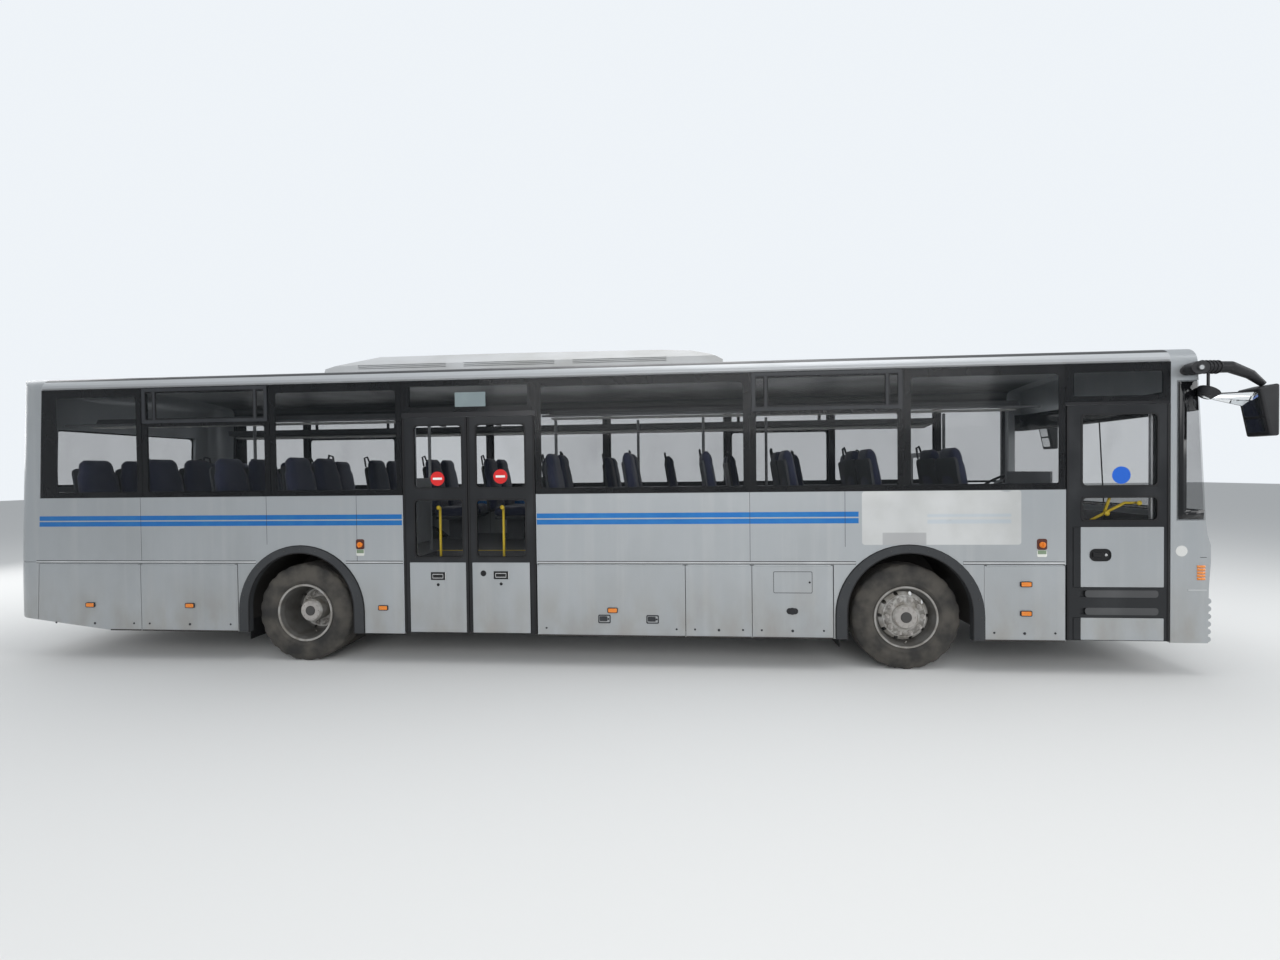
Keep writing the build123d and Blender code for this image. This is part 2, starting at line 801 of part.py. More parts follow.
# Floor in panels, open over the wheels and the steps
well_low = 372.0
well_rises = 3
well_rise = (floor_top - well_low) / well_rises
well_depth = well_rises * step_run
well_back = 20.0
well_skin = 35.0
cheek_thickness = 12.0
wells = [(mid_a, mid_b), (door_a, cap_x)]
liner_half = liner_radius + liner_wall
well_edge = -wall_inner + well_depth
# Columns: where a panel ends, its right-hand edge, its left-hand edge
floor_panels = [
    (axle_x - liner_half, -wall_inner, wall_inner),
    (axle_x + liner_half, -liner_inboard, liner_inboard),
    (mid_a, -wall_inner, wall_inner),
    (mid_b, well_edge, wall_inner),
    (front_x - liner_half, -wall_inner, wall_inner),
    (front_x + liner_half, -liner_inboard, liner_inboard),
    (door_a, -wall_inner, wall_inner),
    (cap_x, well_edge, wall_inner),
]
floor_deck = []
x = axle_x + rear_cap_high_s
for x_end, y0, y1 in floor_panels:
    floor_deck.append(block(x, x_end - slack, y0, y1, floor_under, floor_top))
    x = x_end
save("floor_deck", *floor_deck)


# Steps in the doorways, between their cheeks
def well_under(y):
    """Height of the underside of the steps: level below the first, then sloping up."""
    past_first = max(0.0, y + wall_inner - step_run)
    return well_low - well_skin + past_first * well_rise / step_run


def flight(x0, x1):
    """Steps from a doorway up to the floor, with the plate behind them."""
    steps = []
    for n in range(well_rises):
        y0 = -wall_inner + n * step_run
        y1 = y0 + step_run - slack
        top = well_low + n * well_rise
        points = [(y0, top), (y0, well_under(y0)), (y1, well_under(y1)), (y1, top)]
        steps.append(cross_form(points, x0, x1))
    y1 = well_edge + well_back
    points = [(well_edge, floor_under - slack), (well_edge, well_under(well_edge)),
              (y1, well_under(y1)), (y1, floor_under - slack)]
    steps.append(cross_form(points, x0, x1))
    return steps


step_wells = []
for x0, x1 in wells:
    step_wells.extend(flight(x0 + cheek_thickness + slack, x1 - cheek_thickness - slack))
    for x in (x0, x1 - cheek_thickness):
        step_wells.append(block(x, x + cheek_thickness, -wall_inner, well_edge - slack,
                                well_low - well_skin, floor_top))
save("step_wells", *step_wells)

# Luggage bays: floors, cross walls, and the walls along the spine
bay_a = axle_x + 700
bay_b = axle_x + 2510
bay_c = axle_x + 4600
bay_d = axle_x + 5370
bay_side = wall_inner - 10
bay_spine = 220.0
# Columns: rear end, front end, right-hand edge
bay_floors = [
    (bay_a, bay_b - slack, bay_spine),
    (bay_b, bay_c - slack, -bay_side),
    (bay_c, bay_d, bay_spine),
]
# Columns: rear face, right-hand edge
bay_walls = [
    (bay_a, bay_spine),
    (bay_b, -bay_side),
    (bay_c - plate - slack, -bay_side),
    (bay_d - plate, bay_spine),
]
wall_low = bay_floor + plate + slack
wall_high = rail_under - slack
luggage_bays = []
for x0, x1, y0 in bay_floors:
    luggage_bays.append(block(x0, x1, y0, bay_side, bay_floor, bay_floor + plate))
for x, y0 in bay_walls:
    luggage_bays.append(block(x, x + plate, y0, bay_side, wall_low, wall_high))
for x0, x1 in ((bay_a + plate, bay_b), (bay_c, bay_d - plate)):
    luggage_bays.append(block(x0 + slack, x1 - slack, bay_spine, bay_spine + plate, wall_low, wall_high))
save("luggage_bays", *luggage_bays)

# Engine, as one plain block with its gearbox, and the shaft to the rear axle
engine_x = [tail_x + 420, axle_x - 1650]
gearbox_front = axle_x - 1180
axle_nose_length = 400.0
engine = block(engine_x[0], engine_x[1], -330, 330, 430, rail_under + 60)
gearbox = block(engine_x[1], gearbox_front, -200, 200, 470, 840)
shaft = rod(gearbox_front - 10, 0, tyre_radius, 38, axle_x - axle_nose_length - gearbox_front + 10, "x")
save("engine_block", engine + gearbox + shaft)


# Wheels
def tyre(y):
    """Tyre centred at one place across the bus."""
    h = tyre_width / 2
    r = tyre_radius
    b = tyre_bore
    bead = h - 25
    half = [(b, -bead), (rim_lip + 2, -bead), (b + 90, -h), (r - 60, -h + 6), (r - 3, -h + 42)]
    points = half + [(r, -20.0), (r, 20.0)] + [(radius, -across) for radius, across in reversed(half)]
    face = Plane.XY * Polygon(*points, align=None)
    return Pos(0, y, 0) * revolve(face, axis=Axis.Y)


def turned(outline):
    """Round piece about the wheel's axis, from (radius, y) points."""
    return revolve(Plane.XY * Polygon(*outline, align=None), axis=Axis.Y)


def drum_and_hub(y0, y1, web, hub_out):
    """Brake drum open to the inside, with the hub that carries the disc."""
    cup = turned([(stub_radius + slack, y0), (drum_radius, y0), (drum_radius, y1), (drum_radius - web, y1),
                  (drum_radius - web, y0 + web), (stub_radius + slack, y0 + web)])
    hub = turned([(stub_radius + slack, hub_out), (hub_radius - 15, hub_out), (hub_radius, hub_out + 20),
                  (hub_radius, y0 + web), (stub_radius + slack, y0 + web)])
    return cup + hub


def pierced(disc, holes_at, hole_radius, y0, y1):
    """Wheel disc with its ring of hand holes."""
    for n in range(hand_holes):
        angle = radians(360 / hand_holes * n)
        hole = rod(holes_at * cos(angle), y0, holes_at * sin(angle), hole_radius, y1 - y0, "y")
        disc = disc - hole
    return disc


def front_wheel():
    """Rim, disc and hub of a front wheel, centred on its own middle, outside at -Y."""
    h = tyre_width / 2 - 25
    outline = [
        (stub_radius + slack, -90.0), (185.0, -86.0), (245.0, -30.0), (258.0, 30 - h), (280.0, -h - 12),
        (rim_lip, -h - 12), (rim_lip, -h), (tyre_bore, -h), (tyre_bore, h), (rim_lip, h),
        (rim_lip, h + 12), (276.0, h + 12), (254.0, -5.0), (185.0, -72.0), (stub_radius + slack, -74.0),
    ]
    disc = turned(outline) + drum_and_hub(-76.0, 80.0, 12.0, -125.0)
    return pierced(disc, 225.0, 19.0, -120, 0)


def rear_wheels():
    """Twin rims, disc and hub, centred between the tyres, outside at -Y."""
    h = tyre_width / 2 - 25
    a = twin_spacing / 2
    outline = [
        (stub_radius + slack, -38.0), (205.0, -22.0), (240.0, -22.0), (262.0, -a - h + 30),
        (280.0, -a - h - 12), (rim_lip, -a - h - 12), (rim_lip, -a - h),
        (tyre_bore, -a - h), (tyre_bore, -a + h), (rim_lip, -a + h), (rim_lip, a - h), (tyre_bore, a - h),
        (tyre_bore, a + h), (rim_lip, a + h), (rim_lip, a + h + 12), (276.0, a + h + 12),
        (262.0, a + h - 40), (262.0, 10.0), (stub_radius + slack, -8.0),
    ]
    disc = turned(outline) + drum_and_hub(-10.0, a + 60, 14.0, -200.0)
    return pierced(disc, 228.0, 18.0, -80, 30)


front_place = Pos(front_x, -steer_y, tyre_radius)
rear_y = twin_outer_y - twin_spacing / 2
rear_place = Pos(axle_x, -rear_y, tyre_radius)
front_tyre = front_place * tyre(0)
front_rim = front_place * front_wheel()
twin_tyres = [rear_place * tyre(-twin_spacing / 2), rear_place * tyre(twin_spacing / 2)]
twin_rims = rear_place * rear_wheels()
save("front_tyre_right", front_tyre)
save("front_tyre_left", flip(front_tyre))
save("front_wheel_right", front_rim)
save("front_wheel_left", flip(front_rim))
save("rear_tyres_right", *twin_tyres)
save("rear_tyres_left", *[flip(t) for t in twin_tyres])
save("rear_wheels_right", twin_rims)
save("rear_wheels_left", flip(twin_rims))

# Front axle beam and knuckles
boss_radius = 48.0
boss_height = 150.0
boss_low = tyre_radius - boss_height / 2
beam_low = 400.0
beam_high = 470.0
beam_half = 45.0
beam = block(front_x - beam_half, front_x + beam_half, -kingpin_y + 80, kingpin_y - 80, beam_low, beam_high)
for y in (-kingpin_y, kingpin_y):
    inward = 90 if y < 0 else -90
    beam = beam + rod(front_x, y, boss_low, boss_radius, boss_height)
    beam = beam + block(front_x - 35, front_x + 35, min(y, y + inward), max(y, y + inward),
                        boss_low + 10, beam_high)
    beam = beam - rod(front_x, y, boss_low - 5, kingpin_radius + slack, boss_height + 10)
bellows_radius = 105.0
for sign in (-1, 1):
    for y in (-rail_y, rail_y):
        x = front_x + sign * 190
        beam = beam + block(min(front_x, x) - 60, max(front_x, x) + 60, y - 60, y + 60,
                            beam_high - 30, beam_high)
        beam = beam + rod(x, y, beam_high, bellows_radius, rail_under - beam_high)
save("front_axle", beam)


def knuckle():
    """Right-hand steering knuckle with its kingpin, stub and arm."""
    y = -kingpin_y
    gap = slack
    top = block(front_x - 40, front_x + 40, y - 75, y + 45, boss_low + boss_height + gap,
                boss_low + boss_height + gap + 30)
    bottom = block(front_x - 40, front_x + 40, y - 75, y + 45, boss_low - gap - 30, boss_low - gap)
    pin = rod(front_x, y, boss_low - gap - 10, kingpin_radius, boss_height + 2 * gap + 20)
    face = block(front_x - 40, front_x + 40, y - 80, y - 58, boss_low - 30, boss_low + boss_height + 30)
    stub = rod(front_x, -steer_y - 118, tyre_radius, stub_radius, steer_y + 118 + y - 60, "y")
    arm = block(front_x - steering_arm - 30, front_x - 30, y - 20, y + 20,
                track_rod_z + 30, track_rod_z + 55)
    arm = arm + block(front_x - 45, front_x + 40, y - 20, y + 20, track_rod_z + 30, boss_low - gap)
    ball = rod(front_x - steering_arm, y, track_rod_z - 12, 10, 45)
    return top + bottom + pin + face + stub + arm + ball


knuckle_right = knuckle()
save("knuckle_right", knuckle_right)
save("knuckle_left", flip(knuckle_right))

rod_x = front_x - steering_arm
tie = rod(rod_x, -kingpin_y, track_rod_z, 16, 2 * kingpin_y, "y")
for y in (-kingpin_y, kingpin_y):
    tie = tie + rod(rod_x, y, track_rod_z - 24, 24, 50)
    tie = tie - rod(rod_x, y, track_rod_z - 30, 10 + slack, 80)
save("track_rod", tie)

# Rear axle
axle_tube = rod(axle_x, -rear_y + 70, tyre_radius, 80, 2 * rear_y - 140, "y")
axle_tube = axle_tube + rod(axle_x, -rear_y - 195, tyre_radius, stub_radius, 2 * rear_y + 390, "y")
axle_tube = axle_tube + rod(axle_x, -190, tyre_radius, 200, 380, "y")
nose_cone = rod(axle_x - axle_nose_length, 0, tyre_radius, 90, axle_nose_length, "x")
axle_tube = axle_tube + nose_cone
for sign in (-1, 1):
    for y in (-rail_y, rail_y):
        x = axle_x + sign * 330
        axle_tube = axle_tube + block(min(axle_x, x) - 60, max(axle_x, x) + 60, y - 55, y + 55,
                                      tyre_radius - 60, tyre_radius)
        axle_tube = axle_tube + rod(x, y, tyre_radius, bellows_radius, rail_under - tyre_radius)
save("rear_axle", axle_tube)


# Doors
panel_inset = 52.0
panel_groove = 7.0
slot_inset = 120.0
slot_depth = 16.0
hinge_lug = 22.0
pin_overlap = 2.0


def door_leaf(x0, x1, high, stiles, holes, panels, slots):
    """Leaf with its window holes, panels and slots, and the glass in the holes."""
    leaf = block(x0, x1, -half_width, -half_width + door_thickness, door_low, high)
    lights = []
    for z0, z1 in panels:
        groove = block(x0 + panel_inset, x1 - panel_inset, -half_width - 5, -half_width + panel_groove,
                       z0, z1)
        plateau = block(x0 + panel_inset + panel_groove, x1 - panel_inset - panel_groove, -half_width - 6,
                        -half_width + panel_groove + 1, z0 + panel_groove, z1 - panel_groove)
        leaf = leaf - (groove - plateau)
    for z0, z1 in slots:
        leaf = leaf - block(x0 + slot_inset, x1 - slot_inset, -half_width - 5, -half_width + slot_depth,
                            z0, z1)
    for z0, z1 in holes:
        leaf = leaf - block(x0 + stiles[0], x1 - stiles[1], -half_width - 5,
                            -half_width + door_thickness + 5, z0, z1)
        lights.append(block(x0 + stiles[0], x1 - stiles[1], -half_width + 6, -half_width + 12, z0, z1))
    return leaf, lights


def door_lugs(x, y):
    """Pair of lugs with a pin for each arm's eye."""
    out = []
    inner_face = -half_width + door_thickness
    for z in (arm_low, arm_high):
        half = eye_height / 2 + slack
        for z0 in (z - half - lug, z + half):
            out.append(block(x - hinge_lug, x + hinge_lug, inner_face, y, z0, z0 + lug))
            out.append(rod(x, y, z0, hinge_lug, lug))
        out.append(rod(x, y, z - half - pin_overlap, door_pin, 2 * (half + pin_overlap)))
    return out


def neck_arm(px, py, direction, reach, swing):
    """Swan-neck arm from its column to its eye, shaped to pass the jamb when open."""
    neck_angle = radians(90 - swing)
    bx = px + direction * arm_neck * cos(neck_angle)
    by = py - arm_neck * sin(neck_angle)
    ax = px + direction * reach
    path = Polyline((px, py, 0), (bx, by, 0), (ax - direction * (eye_radius - 6), py, 0))
    first = (Vector(bx, by, 0) - Vector(px, py, 0)).normalized()
    profile = Plane(origin=(px, py, 0), z_dir=first) * Circle(arm_radius)
    bar = sweep(profile, path=path, transition=Transition.ROUND)
    eye = rod(ax, py, -eye_height / 2, eye_radius, eye_height)
    bore = rod(ax, py, -eye_height, door_pin + slack, 2 * eye_height)
    return (bar + eye) - bore


def door_arms(px, py, direction, reach, high):
    """Column with its two arms."""
    column = rod(px, py, well_low + slack, column_radius, high - well_low - 2 * slack)
    for z in (arm_low, arm_high):
        column = column + Pos(0, 0, z) * neck_arm(px, py, direction, reach, door_swing)
    return column


column_y = -half_width + door_thickness + column_depth
mid_split = (mid_a + mid_b) / 2 - 7
front_holes = ((front_glass_low, front_glass_mid), (front_glass_upper, front_glass_high))
front_panels = ((door_low + 4, 545.0), (820.0, 1386.0))
front_slots = ((572.0, 632.0), (734.0, 794.0))
mid_holes = ((door_glass_low, door_glass_mid), (door_glass_upper, door_glass_high))
mid_panels = ((door_low + 4, 1050.0),)
# Columns: name, rear edge, front edge, hinge side, arm reach, top, rear and front stile,
# window heights, panel heights, slot heights
doors = [
    ("front_door", door_a + 6, door_b - 6, "front", front_arm, front_door_high,
     (134.0, 99.0), front_holes, front_panels, front_slots),
    ("mid_door_rear", mid_a + 8, mid_split - 3, "rear", mid_arm, mid_door_high,
     (114.0, 54.0), mid_holes, mid_panels, ()),
    ("mid_door_front", mid_split + 3, mid_b - 8, "front", mid_arm, mid_door_high,
     (82.0, 98.0), mid_holes, mid_panels, ()),
]
bearing_half = 45.0
bearings = []
for name, x0, x1, hinge, reach, high, stiles, holes, panels, slots in doors:
    if hinge == "front":
        px = x1 - column_inset
        direction = -1
    else:
        px = x0 + column_inset
        direction = 1
    leaf, lights = door_leaf(x0, x1, high, stiles, holes, panels, slots)
    for piece in door_lugs(px + direction * reach, column_y):
        leaf = leaf + piece
    save(name, leaf)
    save(name + "_glass", *lights)
    save(name + "_arms", door_arms(px, column_y, direction, reach, high + 4))
    bearings.append(block(px - bearing_half, px + bearing_half, -wall_inner - 5, column_y + bearing_half,
                          high + 4, high + 4 + door_header))
for bearing in bearings:
    wall_right = wall_right + bearing
save("side_wall_right", wall_right)

# Mirrors: tapering arms that droop from the roof corners, with a head on each
mirror_head_y = 1380.0
mirror_head_half = 105.0
# Columns: distance ahead of the nose, y, z, radius of the arm
arm_stations = [
    (-330.0, -1215.0, 2790.0, 50.0),
    (-200.0, -1300.0, 2826.0, 54.0),
    (20.0, -1352.0, 2812.0, 50.0),
    (160.0, -1374.0, 2740.0, 40.0),
    (262.0, -1380.0, 2650.0, 26.0),
]
arm_pieces = []
for start, end in zip(arm_stations, arm_stations[1:]):
    a = Vector(nose_x + start[0], start[1], start[2])
    b = Vector(nose_x + end[0], end[1], end[2])
    run = Plane(origin=a, z_dir=b - a)
    length = (b - a).length
    piece = run * Cone(start[3], end[3], length, align=(Align.CENTER, Align.CENTER, Align.MIN))
    arm_pieces.append(piece + Pos(*a) * Sphere(start[3]))
mirror_arm = arm_pieces[0]
for piece in arm_pieces[1:]:
    mirror_arm = mirror_arm + piece
boss = Pos(nose_x - 255, -1352, 2808) * Rot(90, 0, 0) * extrude(Ellipse(76, 58), amount=40, both=True)
# Head seen from the side: (x, z) corners, its glass on the slanting rear face
head_outline = [(nose_x + 140, 2606), (nose_x + mirror_reach, 2645), (nose_x + mirror_reach, 2190),
                (nose_x + 226, 2190)]
head = side_form(head_outline, -mirror_head_y - mirror_head_half, -mirror_head_y + mirror_head_half)
head = fillet(head.edges(), 18)
mirror_left = flip(mirror_arm + boss + head - outer)
ramp_mirror_x = nose_x - 150
ramp_stem = rod(ramp_mirror_x + 10, -1330, 2620, 11, 170)
ramp_bowl = Pos(ramp_mirror_x, -1330, 2585) * Rot(0, 215, 0) * Cone(
    82, 52, 62, align=(Align.CENTER, Align.CENTER, Align.CENTER))
mirror_right = mirror_arm + boss + head + ramp_stem + ramp_bowl - outer
save("mirrors", mirror_right, mirror_left)

# Wipers, parked along the foot of the windscreen
wiper_z = 1490.0
wiper_spans = [(-1000.0, -130.0, -430.0), (-30.0, 840.0, 540.0)]


def nose_band(level, near, far_off, height):
    """Strip that follows the curve of the nose, between two distances ahead of it."""
    back = setback(level, nose_column)
    big = plan_section(level, back, 100.0, -far_off)
    small = plan_section(level, back, 100.0, -near)
    return extrude(big, amount=height, dir=(0, 0, 1)) - extrude(small, amount=height, dir=(0, 0, 1))


wipers = []
for y0, y1, pivot in wiper_spans:
    blade = nose_band(wiper_z, slack, 16.0, 14.0) & block(0, nose_x + 100, y0, y1, 0, 3000)
    arm = nose_band(wiper_z - 62, 14.0, 26.0, 16.0) & block(0, nose_x + 100, pivot - 20, y1 - 200, 0, 3000)
    post = block(nose_x - 120, nose_x, y1 - 225, y1 - 200, wiper_z - 62, wiper_z + 14)
    wipers.append(blade + arm + (post & nose_band(wiper_z - 62, 8.0, 26.0, 90.0)))
save("wipers", *wipers)

# Lamps
marker_half_length = 45.0
marker_half_height = 20.0
marker_proud = 10.0
# Columns: station, height of each marker on the skirt
markers = [
    (-2385.0, 586.0), (-1240.0, 588.0), (886.0, 580.0), (3252.0, 574.0), (7140.0, 576.0), (7140.0, 850.0),
]
lamps = head_lamps + fog_lamps + tail_lamps
for s, z in markers:
    x = axle_x + s
    lens = block(x - marker_half_length, x + marker_half_length, -half_width - marker_proud, -half_width,
                 z - marker_half_height, z + marker_half_height)
    lamps.append(lens)
    lamps.append(flip(lens))
save("lamps", *lamps)

# Driver's place
dash_x = axle_x + 8080
# Columns: distance ahead of the dashboard's rear edge, height over the floor
dash_outline = [(0.0, 250.0), (60.0, 430.0), (420.0, 400.0), (420.0, 60.0), (200.0, 60.0), (150.0, 250.0)]
dash = side_form([(dash_x + x, floor_top + z) for x, z in dash_outline], -1100, 1180)
dash_leg = block(dash_x + 230, dash_x + 400, 200, 1100, floor_top, floor_top + 80)
dash = dash - block(door_a, cap_x, -half_width, -480, 0, floor_top + 600)
wheel_lean = 30.0
wheel_centre = (axle_x + 7960, 640.0, floor_top + 690)
wheel_hub = 30.0
column_start = wheel_hub / 2 + slack
steering_column = Pos(*wheel_centre) * Rot(0, -wheel_lean, 0) * Pos(0, 0, -400) * Cylinder(
    28, 400 - column_start, align=(Align.CENTER, Align.CENTER, Align.MIN))
save("dashboard", (dash + dash_leg + steering_column) - front_shell)


def seat_form(x, y, z):
    """One seat: cushion, raked back and headrest, from an outline seen from the side."""
    w = seat_width
    d = seat_depth
    h = seat_height
    rake = 110.0
    outline = [
        (x, z + h - 130), (x + d, z + h - 130), (x + d + 20, z + h - 40), (x + d - 10, z + h),
        (x + 60, z + h - 10), (x + 60 - rake, z + h + seat_back - 60), (x + 30 - rake, z + h + seat_back),
        (x - 40 - rake, z + h + seat_back), (x - 60 - rake, z + h + seat_back - 60), (x - 60, z + h - 60),
    ]
    return side_form(outline, y - w / 2, y + w / 2)


def seat_pair(x, side, z):
    """Two seats on one pedestal, beside the wall."""
    outer_y = wall_inner - seat_wall_gap - seat_width / 2
    inner_y = outer_y - seat_width - 10
    a = seat_form(x, -outer_y, z)
    b = seat_form(x, -inner_y, z)
    base = block(x + 60, x + seat_depth - 60, -outer_y - seat_width / 2, -inner_y + seat_width / 2,
                 z + seat_height - 160, z + seat_height - 130)
    leg = block(x + 100, x + seat_depth - 100, -inner_y - 30, -inner_y + 30, z, z + seat_height - 160)
    pair = a + b + base + leg
    if side == "left":
        return flip(pair)
    return pair


liner_top = liner_centre_z + liner_radius + liner_wall
seats = []
# Columns: side, station of the first row's seat, number of rows
seat_blocks = [("right", 2720.0, 6), ("right", -2500.0, 4), ("left", -2500.0, 12)]
for side, first, rows in seat_blocks:
    for n in range(rows):
        x = axle_x + first + n * seat_pitch
        seats.append(seat_pair(x, side, floor_top))
cut_blocks = []
for x in (axle_x, front_x):
    piece = block(x - liner_radius - liner_wall, x + liner_radius + liner_wall, -wall_inner, -liner_inboard,
                  0, liner_top)
    cut_blocks.append(piece)
    cut_blocks.append(flip(piece))
trimmed = []
for pair in seats:
    for piece in cut_blocks:
        pair = pair - piece
    trimmed.extend(solids_of(pair))
save("passenger_seats", *trimmed)

driver_x = axle_x + 7350
driver_y = 640.0
driver = seat_form(driver_x, driver_y, floor_top)
driver = driver + block(driver_x + 80, driver_x + seat_depth - 60, driver_y - 150, driver_y + 150,
                        floor_top, floor_top + seat_height - 120)
save("driver_seat", driver)

wheel_plane = Pos(*wheel_centre) * Rot(0, -wheel_lean, 0)
ring_radius = 225.0
ring_section = 16.0
ring = wheel_plane * Torus(ring_radius, ring_section)
spokes = wheel_plane * (Box(2 * ring_radius - ring_section, 36, 14) + Cylinder(50, wheel_hub))
save("steering_wheel", ring + spokes)

# Handrails from floor to roof, with the screens and the cab partition that they carry
rail_radius = 17.0
screen_thickness = 18.0
rail_door_y = -500.0
rail_top_z = 2600.0
wall_gap = 30.0
rails = []
# Columns: station of a screen beside a door, top of the screen
screens = [(mid_door_s[0] - 80, 1900.0), (mid_door_s[1] + 30, 1900.0), (front_door_s[0] - 80, 1900.0)]
for s, screen_top in screens:
    x = axle_x + s
    post = rod(x, rail_door_y, floor_top, rail_radius, rail_top_z - floor_top)
    sheet = block(x - screen_thickness / 2, x + screen_thickness / 2, -wall_inner + wall_gap, rail_door_y,
                  floor_top + 120, screen_top)
    rails.append(post + sheet)
# Columns: station, distance from the middle of posts that stand in the aisle
posts = [(3400.0, 285.0), (5000.0, 285.0), (4200.0, -285.0), (300.0, 285.0), (-1300.0, -285.0)]
for s, y in posts:
    rails.append(rod(axle_x + s, y, floor_top, rail_radius, rail_top_z - floor_top))
cab_x = axle_x + 7100
cab = block(cab_x, cab_x + screen_thickness, 240, wall_inner - wall_gap, floor_top, 2150)
cab = cab - block(cab_x - 5, cab_x + screen_thickness + 5, 300, wall_inner - wall_gap - 60, 1700, 2090)
cab = cab + rod(cab_x + screen_thickness / 2, 240, floor_top, rail_radius, rail_top_z - floor_top)
rails.append(cab)
save("handrails", *rails)

# Luggage racks under the roof
rack_a = axle_x + rear_cap_high_s + 200
rack_b = axle_x + 7300
rack = cross_form([(-wall_inner, 2500.0), (-wall_inner + 330, 2540.0), (-wall_inner + 340, 2610.0),
                   (-wall_inner + 320, 2560.0), (-wall_inner, 2520.0)], rack_a, rack_b)
door_gap = block(mid_a - 60, mid_b + 60, -2000, 0, 0, 4000)
save("luggage_racks", rack - door_gap, flip(rack))
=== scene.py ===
# %% [markdown]
# A two-door coach bus, dressed over its construction model. The frame holds every
# piece that carries load or moves. This script adds finishes, trim, seats and the
# small things that make the bus look used. All lengths are in metres, +X points to
# the nose, -Y to the kerb side with the doors, +Z up.

# %% Load the frame
import bpy
import bmesh
import json
import math
from mathutils import Matrix, Vector
from mathutils.bvhtree import BVHTree

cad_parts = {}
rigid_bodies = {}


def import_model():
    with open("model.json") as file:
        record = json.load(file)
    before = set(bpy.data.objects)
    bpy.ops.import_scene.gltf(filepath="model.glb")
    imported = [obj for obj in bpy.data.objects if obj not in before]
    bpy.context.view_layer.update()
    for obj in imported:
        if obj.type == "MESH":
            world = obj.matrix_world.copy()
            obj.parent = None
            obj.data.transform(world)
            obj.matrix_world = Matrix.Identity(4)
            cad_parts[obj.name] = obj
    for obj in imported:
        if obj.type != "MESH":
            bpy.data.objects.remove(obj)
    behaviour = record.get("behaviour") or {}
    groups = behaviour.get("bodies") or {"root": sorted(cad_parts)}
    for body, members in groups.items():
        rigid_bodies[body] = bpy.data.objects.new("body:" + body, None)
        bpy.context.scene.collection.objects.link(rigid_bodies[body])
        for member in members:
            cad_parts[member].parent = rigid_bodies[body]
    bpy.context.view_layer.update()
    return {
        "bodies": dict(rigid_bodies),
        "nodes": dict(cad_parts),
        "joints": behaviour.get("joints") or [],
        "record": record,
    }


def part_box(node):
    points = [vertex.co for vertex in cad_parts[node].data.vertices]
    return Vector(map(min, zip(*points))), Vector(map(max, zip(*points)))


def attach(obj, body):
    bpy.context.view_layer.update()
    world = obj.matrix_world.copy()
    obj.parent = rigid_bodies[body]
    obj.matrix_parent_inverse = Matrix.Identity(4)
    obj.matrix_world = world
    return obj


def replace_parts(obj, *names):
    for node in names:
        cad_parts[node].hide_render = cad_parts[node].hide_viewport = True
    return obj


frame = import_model()
nodes = frame["nodes"]

# %% [markdown]
# The photograph was taken from about 5 m beside the bus with a wide lens, a little
# behind the middle. Its place was worked out from the two wheels and the level
# ground, so the camera is written from the rear axle.

# %% Camera
rear_low, rear_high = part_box("rear_tyres_right")
front_low, front_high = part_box("front_tyre_right")
rear_axle = (rear_low + rear_high) / 2
front_axle = (front_low + front_high) / 2
tyre_radius = (front_high.z - front_low.z) / 2
side_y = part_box("side_wall_right")[0].y
AX = rear_axle.x

camera_place = Vector((AX + 3.957, -6.570, 1.942))
camera_yaw = math.radians(-4.51)
camera_pitch = math.radians(-0.87)
camera_roll = math.radians(-0.68)
focal_pixels = 540.5
picture_width = 1280

data = bpy.data.cameras.new("camera")
data.sensor_width = 36.0
data.lens = focal_pixels / picture_width * data.sensor_width
camera = bpy.data.objects.new("camera", data)
bpy.context.scene.collection.objects.link(camera)
forward = Vector((math.sin(camera_yaw) * math.cos(camera_pitch),
                  math.cos(camera_yaw) * math.cos(camera_pitch), math.sin(camera_pitch)))
level_right = Vector((math.cos(camera_yaw), -math.sin(camera_yaw), 0.0))
level_up = level_right.cross(forward)
right = math.cos(camera_roll) * level_right + math.sin(camera_roll) * level_up
up = right.cross(forward)
turn = Matrix((right, up, -forward)).transposed().to_4x4()
camera.matrix_world = Matrix.Translation(camera_place) @ turn
bpy.context.scene.camera = camera
print("camera at", tuple(round(v, 3) for v in camera_place), "lens", round(data.lens, 2))

# %% [markdown]
# Soft daylight from a pale world and five broad lamps: one above, one along each side
# and one at each end.
# The floor and the world are white to the camera, to glossy and to clear surfaces,
# and the colours of the bus come out about as they are written.

# %% Light and floor
scene = bpy.context.scene
scene.view_settings.view_transform = "Standard"
world = bpy.data.worlds.new("daylight")
scene.world = world
world.use_nodes = True
wn = world.node_tree.nodes
wl = world.node_tree.links
wn.clear()
sky_light = wn.new("ShaderNodeBackground")
sky_light.inputs["Color"].default_value = (0.90, 0.95, 1.0, 1)
sky_light.inputs["Strength"].default_value = 0.55
sky_seen = wn.new("ShaderNodeBackground")
sky_seen.inputs["Color"].default_value = (0.86, 0.90, 0.94, 1)
sky_seen.inputs["Strength"].default_value = 1.0
path = wn.new("ShaderNodeLightPath")
seen = wn.new("ShaderNodeMath")
seen.operation = "MAXIMUM"
wl.new(path.outputs["Is Camera Ray"], seen.inputs[0])
wl.new(path.outputs["Is Transmission Ray"], seen.inputs[1])
mixed = wn.new("ShaderNodeMixShader")
wl.new(seen.outputs[0], mixed.inputs[0])
wl.new(sky_light.outputs[0], mixed.inputs[1])
wl.new(sky_seen.outputs[0], mixed.inputs[2])
world_out = wn.new("ShaderNodeOutputWorld")
wl.new(mixed.outputs[0], world_out.inputs[0])


